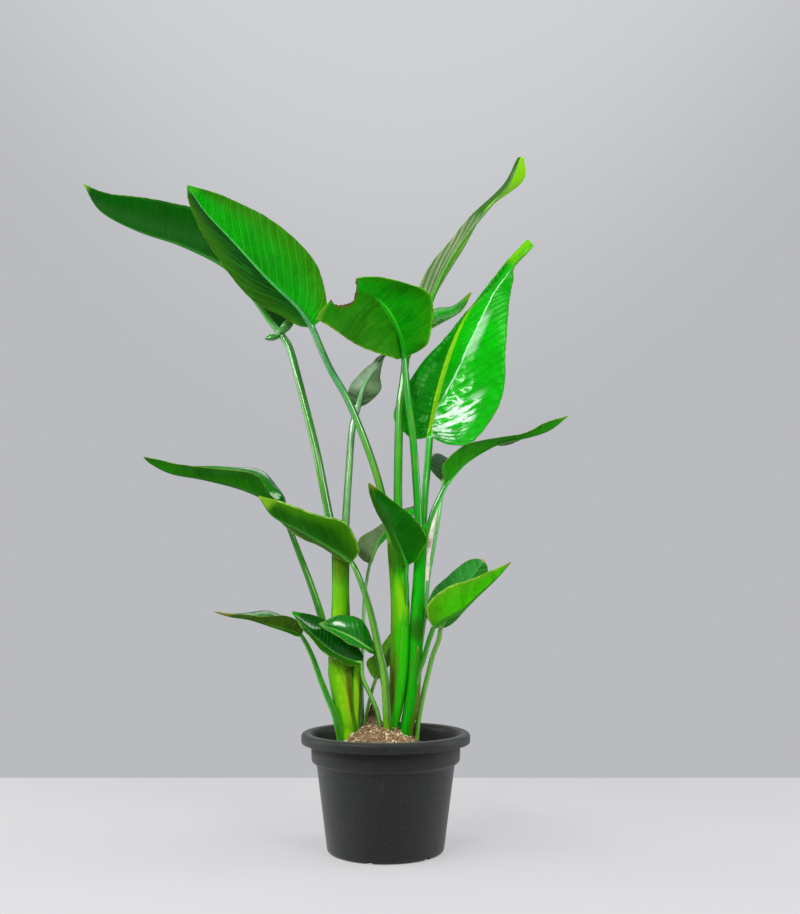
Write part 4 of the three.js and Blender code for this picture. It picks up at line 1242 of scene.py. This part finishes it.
grow_leaf(
    "mid_left_folded", "leaf_mid",
    midrib=[(-48, -34, 398), (-60, -38, 407), (-85, -44, 422), (-121, -50, 442), (-158, -50, 462),
            (-179, -46, 490)],
    left=[(-60, -15, 400), (-88, -5, 416), (-125, -8, 436), (-161, -25, 465)],
    right=[(-38, -36, 419), (-56, -42, 453), (-95, -46, 464), (-142, -48, 481)],
    stalk=[(6, -15, 130), (2, -20, 186), (-2, -26, 243), (-11, -32, 284), (-18, -36, 316),
           (-28, -38, 352), (-40, -37, 383)],
    radius=(6.6, 3.5), slant=1.4, veins=(0.08, 0.08), tip_from=0.86, patchy=0.7,
    upper=(0.006, 0.15, 0.002), under=((0.044, 0.046, 0.012), (0.007, 0.07, 0.001)),
    rib=(0.03, 0.16, 0.015), vein=(0.03, 0.22, 0.006), outer=((0.053, 0.24, 0.001), 0.9),
    tip_colour=(0.14, 0.3, 0.01), stalk_colours=((0.135, 0.382, 0.001), (0.056, 0.273, 0.018)),
    base=(0.02, 0.07, 0.002), rim=(0.002, (0.34, 0.52, 0.12), (0.1, 0.24, 0.01)))
grow_leaf(
    "centre_dark", "leaf_deep",
    midrib=[(30, -26, 394), (24, -34, 410), (14, -46, 434), (2, -58, 460), (-11, -66, 483),
            (-23, -72, 506)],
    left=[(20, -22, 406), (4, -20, 434), (-10, -30, 465), (-22, -54, 488)],
    right=[(50, -24, 413), (58, -26, 432), (37, -38, 463), (5, -58, 487)],
    stalk=[(29, -4, 331), (30, -12, 359), (29, -20, 376)],
    radius=(3.2, 2.8), veins=(0.15, 0.15), patchy=0.55,
    upper=(0.006, 0.1, 0.002), under=((0.018, 0.122, 0.001), (0.002, 0.103, 0.001)),
    rib=(0.004, 0.08, 0.001), vein=(0.02, 0.15, 0.002), outer=((0.009, 0.151, 0.001), 0.6),
    tip_colour=(0.14, 0.16, 0.005), stalk_colours=((0.012, 0.317, 0.001), (0.004, 0.28, 0.001)),
    rim=(0.0012, (0.12, 0.4, 0.01), (0.05, 0.14, 0.005)))
grow_leaf(
    "centre_rear", "leaf_deep",
    midrib=[(-24, 22, 398), (-18, 28, 416), (-8, 38, 437), (11, 55, 462), (28, 72, 477), (45, 85, 487)],
    left=[(-42, 24, 414), (-39, 38, 437), (-10, 58, 455), (17, 76, 479)],
    right=[(-17, 36, 411), (-4, 50, 432), (15, 66, 454), (37, 80, 468)],
    stalk=[(-34, 24, 130), (-34, 24, 182), (-35, 24, 226), (-34, 24, 280), (-32, 24, 345),
           (-28, 23, 377)],
    radius=(2.8, 2.3), veins=(0.2, 0.2),
    upper=(0.01, 0.14, 0.006), under=((0.135, 0.212, 0.083), (0.003, 0.691, 0.001)), rib=(0.1, 0.3, 0.05),
    vein=(0.24, 0.34, 0.2), outer=((0.088, 0.174, 0.046), 0.3), tip_colour=(0.02, 0.12, 0.005),
    stalk_colours=((0.216, 0.599, 0.134), (0.213, 0.432, 0.128)))

# Low leaves
# Six small leaves just above the pot, on short stalks that come out of the soil and the stems:
# two on the right, three on the left and a small one behind.

grow_leaf(
    "low_right_folded", "leaf_bright",
    midrib=[(68, -6, 307), (81, -10, 317), (108, -18, 332), (130, -26, 352), (155, -34, 375),
            (176, -40, 398)],
    left=[(60, -20, 341), (86, -34, 362), (118, -40, 374), (146, -42, 385)],
    right=[(85, 14, 333), (111, 16, 351), (135, 6, 366), (158, -14, 383)],
    stalk=[(39, -4, 205), (45, -8, 239), (53, -8, 261), (60, -7, 285)],
    radius=(4.1, 3.6), veins=(0.08, 0.08), tip_from=0.95, patchy=0.6,
    upper=(0.02, 0.3, 0.004), under=((0.045, 0.466, 0.001), (0.07, 0.5, 0.002)), rib=(0.05, 0.3, 0.01),
    vein=(0.16, 0.66, 0.02), outer=((0.169, 0.599, 0.01), 0.6), tip_colour=(0.2, 0.16, 0.03),
    stalk_colours=((0.042, 0.269, 0.001), (0.044, 0.231, 0.001)), base=(0.06, 0.2, 0.003),
    rim=(0.0025, (0.3, 0.5, 0.06), (0.16, 0.3, 0.02)))
grow_leaf(
    "low_right_rear", "leaf_deep",
    midrib=[(79, 22, 305), (89, 30, 320), (104, 44, 345), (120, 58, 370), (136, 70, 389), (148, 80, 405)],
    left=[(58, 34, 326), (69, 54, 359), (95, 70, 382), (125, 80, 405)],
    right=[(105, 44, 317), (126, 58, 339), (143, 72, 362), (153, 80, 386)],
    stalk=[(42, 8, 128), (45, 9, 168), (50, 11, 196), (55, 13, 219), (61, 15, 242), (67, 17, 265),
           (76, 20, 288)],
    radius=(3.9, 3.4), veins=(0.4, 0.4), tip_from=0.95,
    upper=(0.006, 0.14, 0.01), under=((0.032, 0.264, 0.031), (0.013, 0.161, 0.001)), rib=(0.06, 0.4, 0.09),
    vein=(0.06, 0.36, 0.1), outer=((0.03, 0.211, 0.02), 0.4), tip_colour=(0.45, 0.35, 0.2),
    stalk_colours=((0.157, 0.475, 0.042), (0.124, 0.363, 0.039)))
grow_leaf(
    "low_left_long", "leaf_deep",
    midrib=[(-121, -6, 296), (-136, -14, 302), (-161, -26, 310), (-189, -38, 319), (-215, -50, 323),
            (-237, -60, 330)],
    left=[(-130, 10, 314), (-164, 8, 327), (-191, -8, 329), (-212, -36, 326)],
    right=[(-119, -24, 312), (-143, -40, 324), (-177, -48, 323), (-206, -54, 326)],
    stalk=[(-58, -7, 128), (-70, -8, 181), (-84, -10, 215), (-93, -10, 237), (-102, -9, 261),
           (-112, -7, 282)],
    radius=(5.8, 3.2), tip_from=0.8, shine=(0.5, 0.5),
    upper=((0.012, 0.176, 0.026), (0.02, 0.16, 0.02)), under=((0.05, 0.14, 0.008), (0.048, 0.133, 0.002)),
    rib=(0.1, 0.24, 0.03), vein=(0.1, 0.2, 0.03), outer=((0.067, 0.171, 0.005), 0.4),
    tip_colour=(0.3, 0.3, 0.05), stalk_colours=((0.084, 0.584, 0.001), (0.067, 0.292, 0.001)))
grow_leaf(
    "low_left_dark", "leaf_deep",
    midrib=[(-35, -18, 258), (-52, -24, 263), (-73, -31, 273), (-94, -36, 290), (-113, -40, 309),
            (-130, -42, 329)],
    left=[(-34, -18, 272), (-50, -20, 296), (-76, -21, 314), (-103, -27, 324)],
    right=[(-53, -34, 255), (-76, -40, 267), (-97, -44, 285), (-115, -44, 305)],
    stalk=[(-4, -8, 130), (-10, -9, 181), (-21, -10, 211), (-32, -14, 235)],
    radius=(3.5, 2.8), shine=(0.3, 0.3), vein_spacing=0.006, coat_roughness=0.12, ripple=0.15,
    upper=((0.001, 0.072, 0.001), (0.021, 0.147, 0.001)), under=((0.05, 0.16, 0.008), (0.06, 0.2, 0.01)),
    rib=(0.05, 0.3, 0.03), vein=(0.006, 0.16, 0.003), outer=((0.001, 0.084, 0.001), 0.3),
    tip_colour=(0.01, 0.24, 0.002), stalk_colours=((0.175, 0.51, 0.06), (0.241, 0.63, 0.1)))
grow_leaf(
    "low_left_bright", "leaf_mid",
    midrib=[(-15, -23, 272), (-25, -33, 279), (-47, -46, 294), (-68, -54, 304), (-91, -58, 313)],
    left=[(-18, -21, 289), (-35, -33, 318), (-62, -44, 325)],
    right=[(-27, -40, 275), (-49, -56, 286), (-72, -61, 299)],
    stalk=[(7, -4, 160), (1, -7, 195), (-5, -13, 234)],
    radius=(3.5, 3), shine=(1.0, 1.0), vein_spacing=0.006, coat_roughness=0.15, ripple=0.25,
    upper=((0.001, 0.134, 0.001), (0.001, 0.18, 0.001)), under=(0.03, 0.2, 0.01), rib=(0.16, 0.5, 0.06),
    vein=(0.01, 0.28, 0.01), outer=((0.001, 0.184, 0.001), 0.5), tip_colour=(0.1, 0.2, 0.04),
    stalk_colours=((0.004, 0.224, 0.001), (0.009, 0.187, 0.001)))
grow_leaf(
    "low_rear_small", "leaf_deep",
    midrib=[(-15, 26, 232), (-9, 34, 247), (1, 48, 269), (13, 66, 291), (25, 84, 314)],
    left=[(-28, 40, 256), (-11, 55, 271), (5, 70, 294)],
    right=[(2, 45, 246), (19, 60, 262), (28, 78, 285)],
    stalk=[(-30, 14, 130), (-29, 15, 175), (-22, 20, 209)],
    radius=(2.8, 2.4), wear=1.0,
    upper=(0.02, 0.14, 0.004), under=((0.091, 0.345, 0.008), (0.05, 0.13, 0.01)), rib=(0.06, 0.2, 0.02),
    vein=(0.06, 0.2, 0.01), outer=((0.133, 0.276, 0.013), 0.5), tip_colour=(0.12, 0.14, 0.03),
    stalk_colours=((0.111, 0.268, 0.005), (0.058, 0.121, 0.004)))

# Room
# A plain pale floor that ends where the grey wall behind the plant begins, with the grey as even
# light all round, and soft lamps in front, at both sides, above and behind.

FLOOR_END = 0.567
FLOOR_REACH = 4.0
FLOOR_DROP = 0.0003
FLOOR_GLOW = (0.42, 0.42, 0.43, 1)
WALL_LOW = (0.49, 0.496, 0.522)
WALL_HIGH = (0.625, 0.635, 0.655)
ROOM_LIGHT = (0.2, 0.203, 0.213)


def floor_material():
    material, tree, shader = new_material("pale floor")
    cloud = speckle(object_place(tree), 2.5, 2.0)
    feed(shader, Base_Color=mix(cloud, (0.195, 0.195, 0.198), (0.205, 0.205, 0.208)), Roughness=0.8,
         Specular_IOR_Level=0.2, Emission_Color=FLOOR_GLOW, Emission_Strength=1.0)
    return material


bm = bmesh.new()
middle = Matrix.Translation((0, FLOOR_END - FLOOR_REACH, -FLOOR_DROP))
bmesh.ops.create_grid(bm, x_segments=8, y_segments=8, size=FLOOR_REACH, matrix=middle)
floor = bpy.data.objects.new("floor", bpy.data.meshes.new("floor"))
bm.to_mesh(floor.data)
bm.free()
floor.data.materials.append(floor_material())
bpy.context.scene.collection.objects.link(floor)

world = bpy.data.worlds.new("grey wall")
world.use_nodes = True
tree = world.node_tree
seen = add(tree, "ShaderNodeLightPath").outputs["Is Camera Ray"]
way = parts_of(add(tree, "ShaderNodeTexCoord").outputs["Generated"])
height = scaled(calc("POWER", calc("ABSOLUTE", way["X"]), 2.0), -1.6, way["Z"])
wall = mix(share_between(height, 0.12, 0.52), WALL_LOW, WALL_HIGH)
tree.links.new(mix(seen, ROOM_LIGHT, wall), tree.nodes["Background"].inputs["Color"])
bpy.context.scene.world = world


def soft_lamp(name, place, aim, width, height, watts):
    lamp = bpy.data.lights.new(name, "AREA")
    lamp.shape = "RECTANGLE"
    lamp.size, lamp.size_y, lamp.energy = width, height, watts
    stand = bpy.data.objects.new(name, lamp)
    stand.location = place
    stand.rotation_euler = (Vector(aim) - Vector(place)).to_track_quat("-Z", "Y").to_euler()
    stand.visible_camera = False
    bpy.context.scene.collection.objects.link(stand)


soft_lamp("key lamp", (-1.45, -1.3, 1.58), (0, 0, 0.55), 2.0, 0.16, 40)
soft_lamp("front lamp", (-0.7, -1.94, 1.35), (0, 0, 0.6), 0.25, 0.25, 11)
soft_lamp("front right lamp", (1.15, -1.65, 1.45), (0, 0, 0.45), 0.7, 0.5, 22)
soft_lamp("left lamp", (-2.0, 0.3, 0.7), (0, 0, 0.15), 0.5, 1.2, 14)
soft_lamp("right lamp", (2.0, 0.1, 0.7), (0, 0, 0.15), 0.5, 1.2, 14)
soft_lamp("top lamp", (0, -0.2, 2.6), (0, 0, 0.4), 1.6, 1.2, 28)
soft_lamp("back lamp", (-0.3, 2.1, 1.9), (0, 0, 0.5), 1.4, 0.5, 4)

# Camera
# Straight on and low, tilted up a little, as the photograph was taken: about 1.5 metres in front
# of the pot and 36 centimetres above the floor.

camera = bpy.data.cameras.new("camera")
camera.lens = 40.8
viewer = bpy.data.objects.new("camera", camera)
viewer.location = (0.02, -1.5, 0.357)
viewer.rotation_euler = (math.radians(97.4), 0, 0)
bpy.context.scene.collection.objects.link(viewer)
bpy.context.scene.camera = viewer
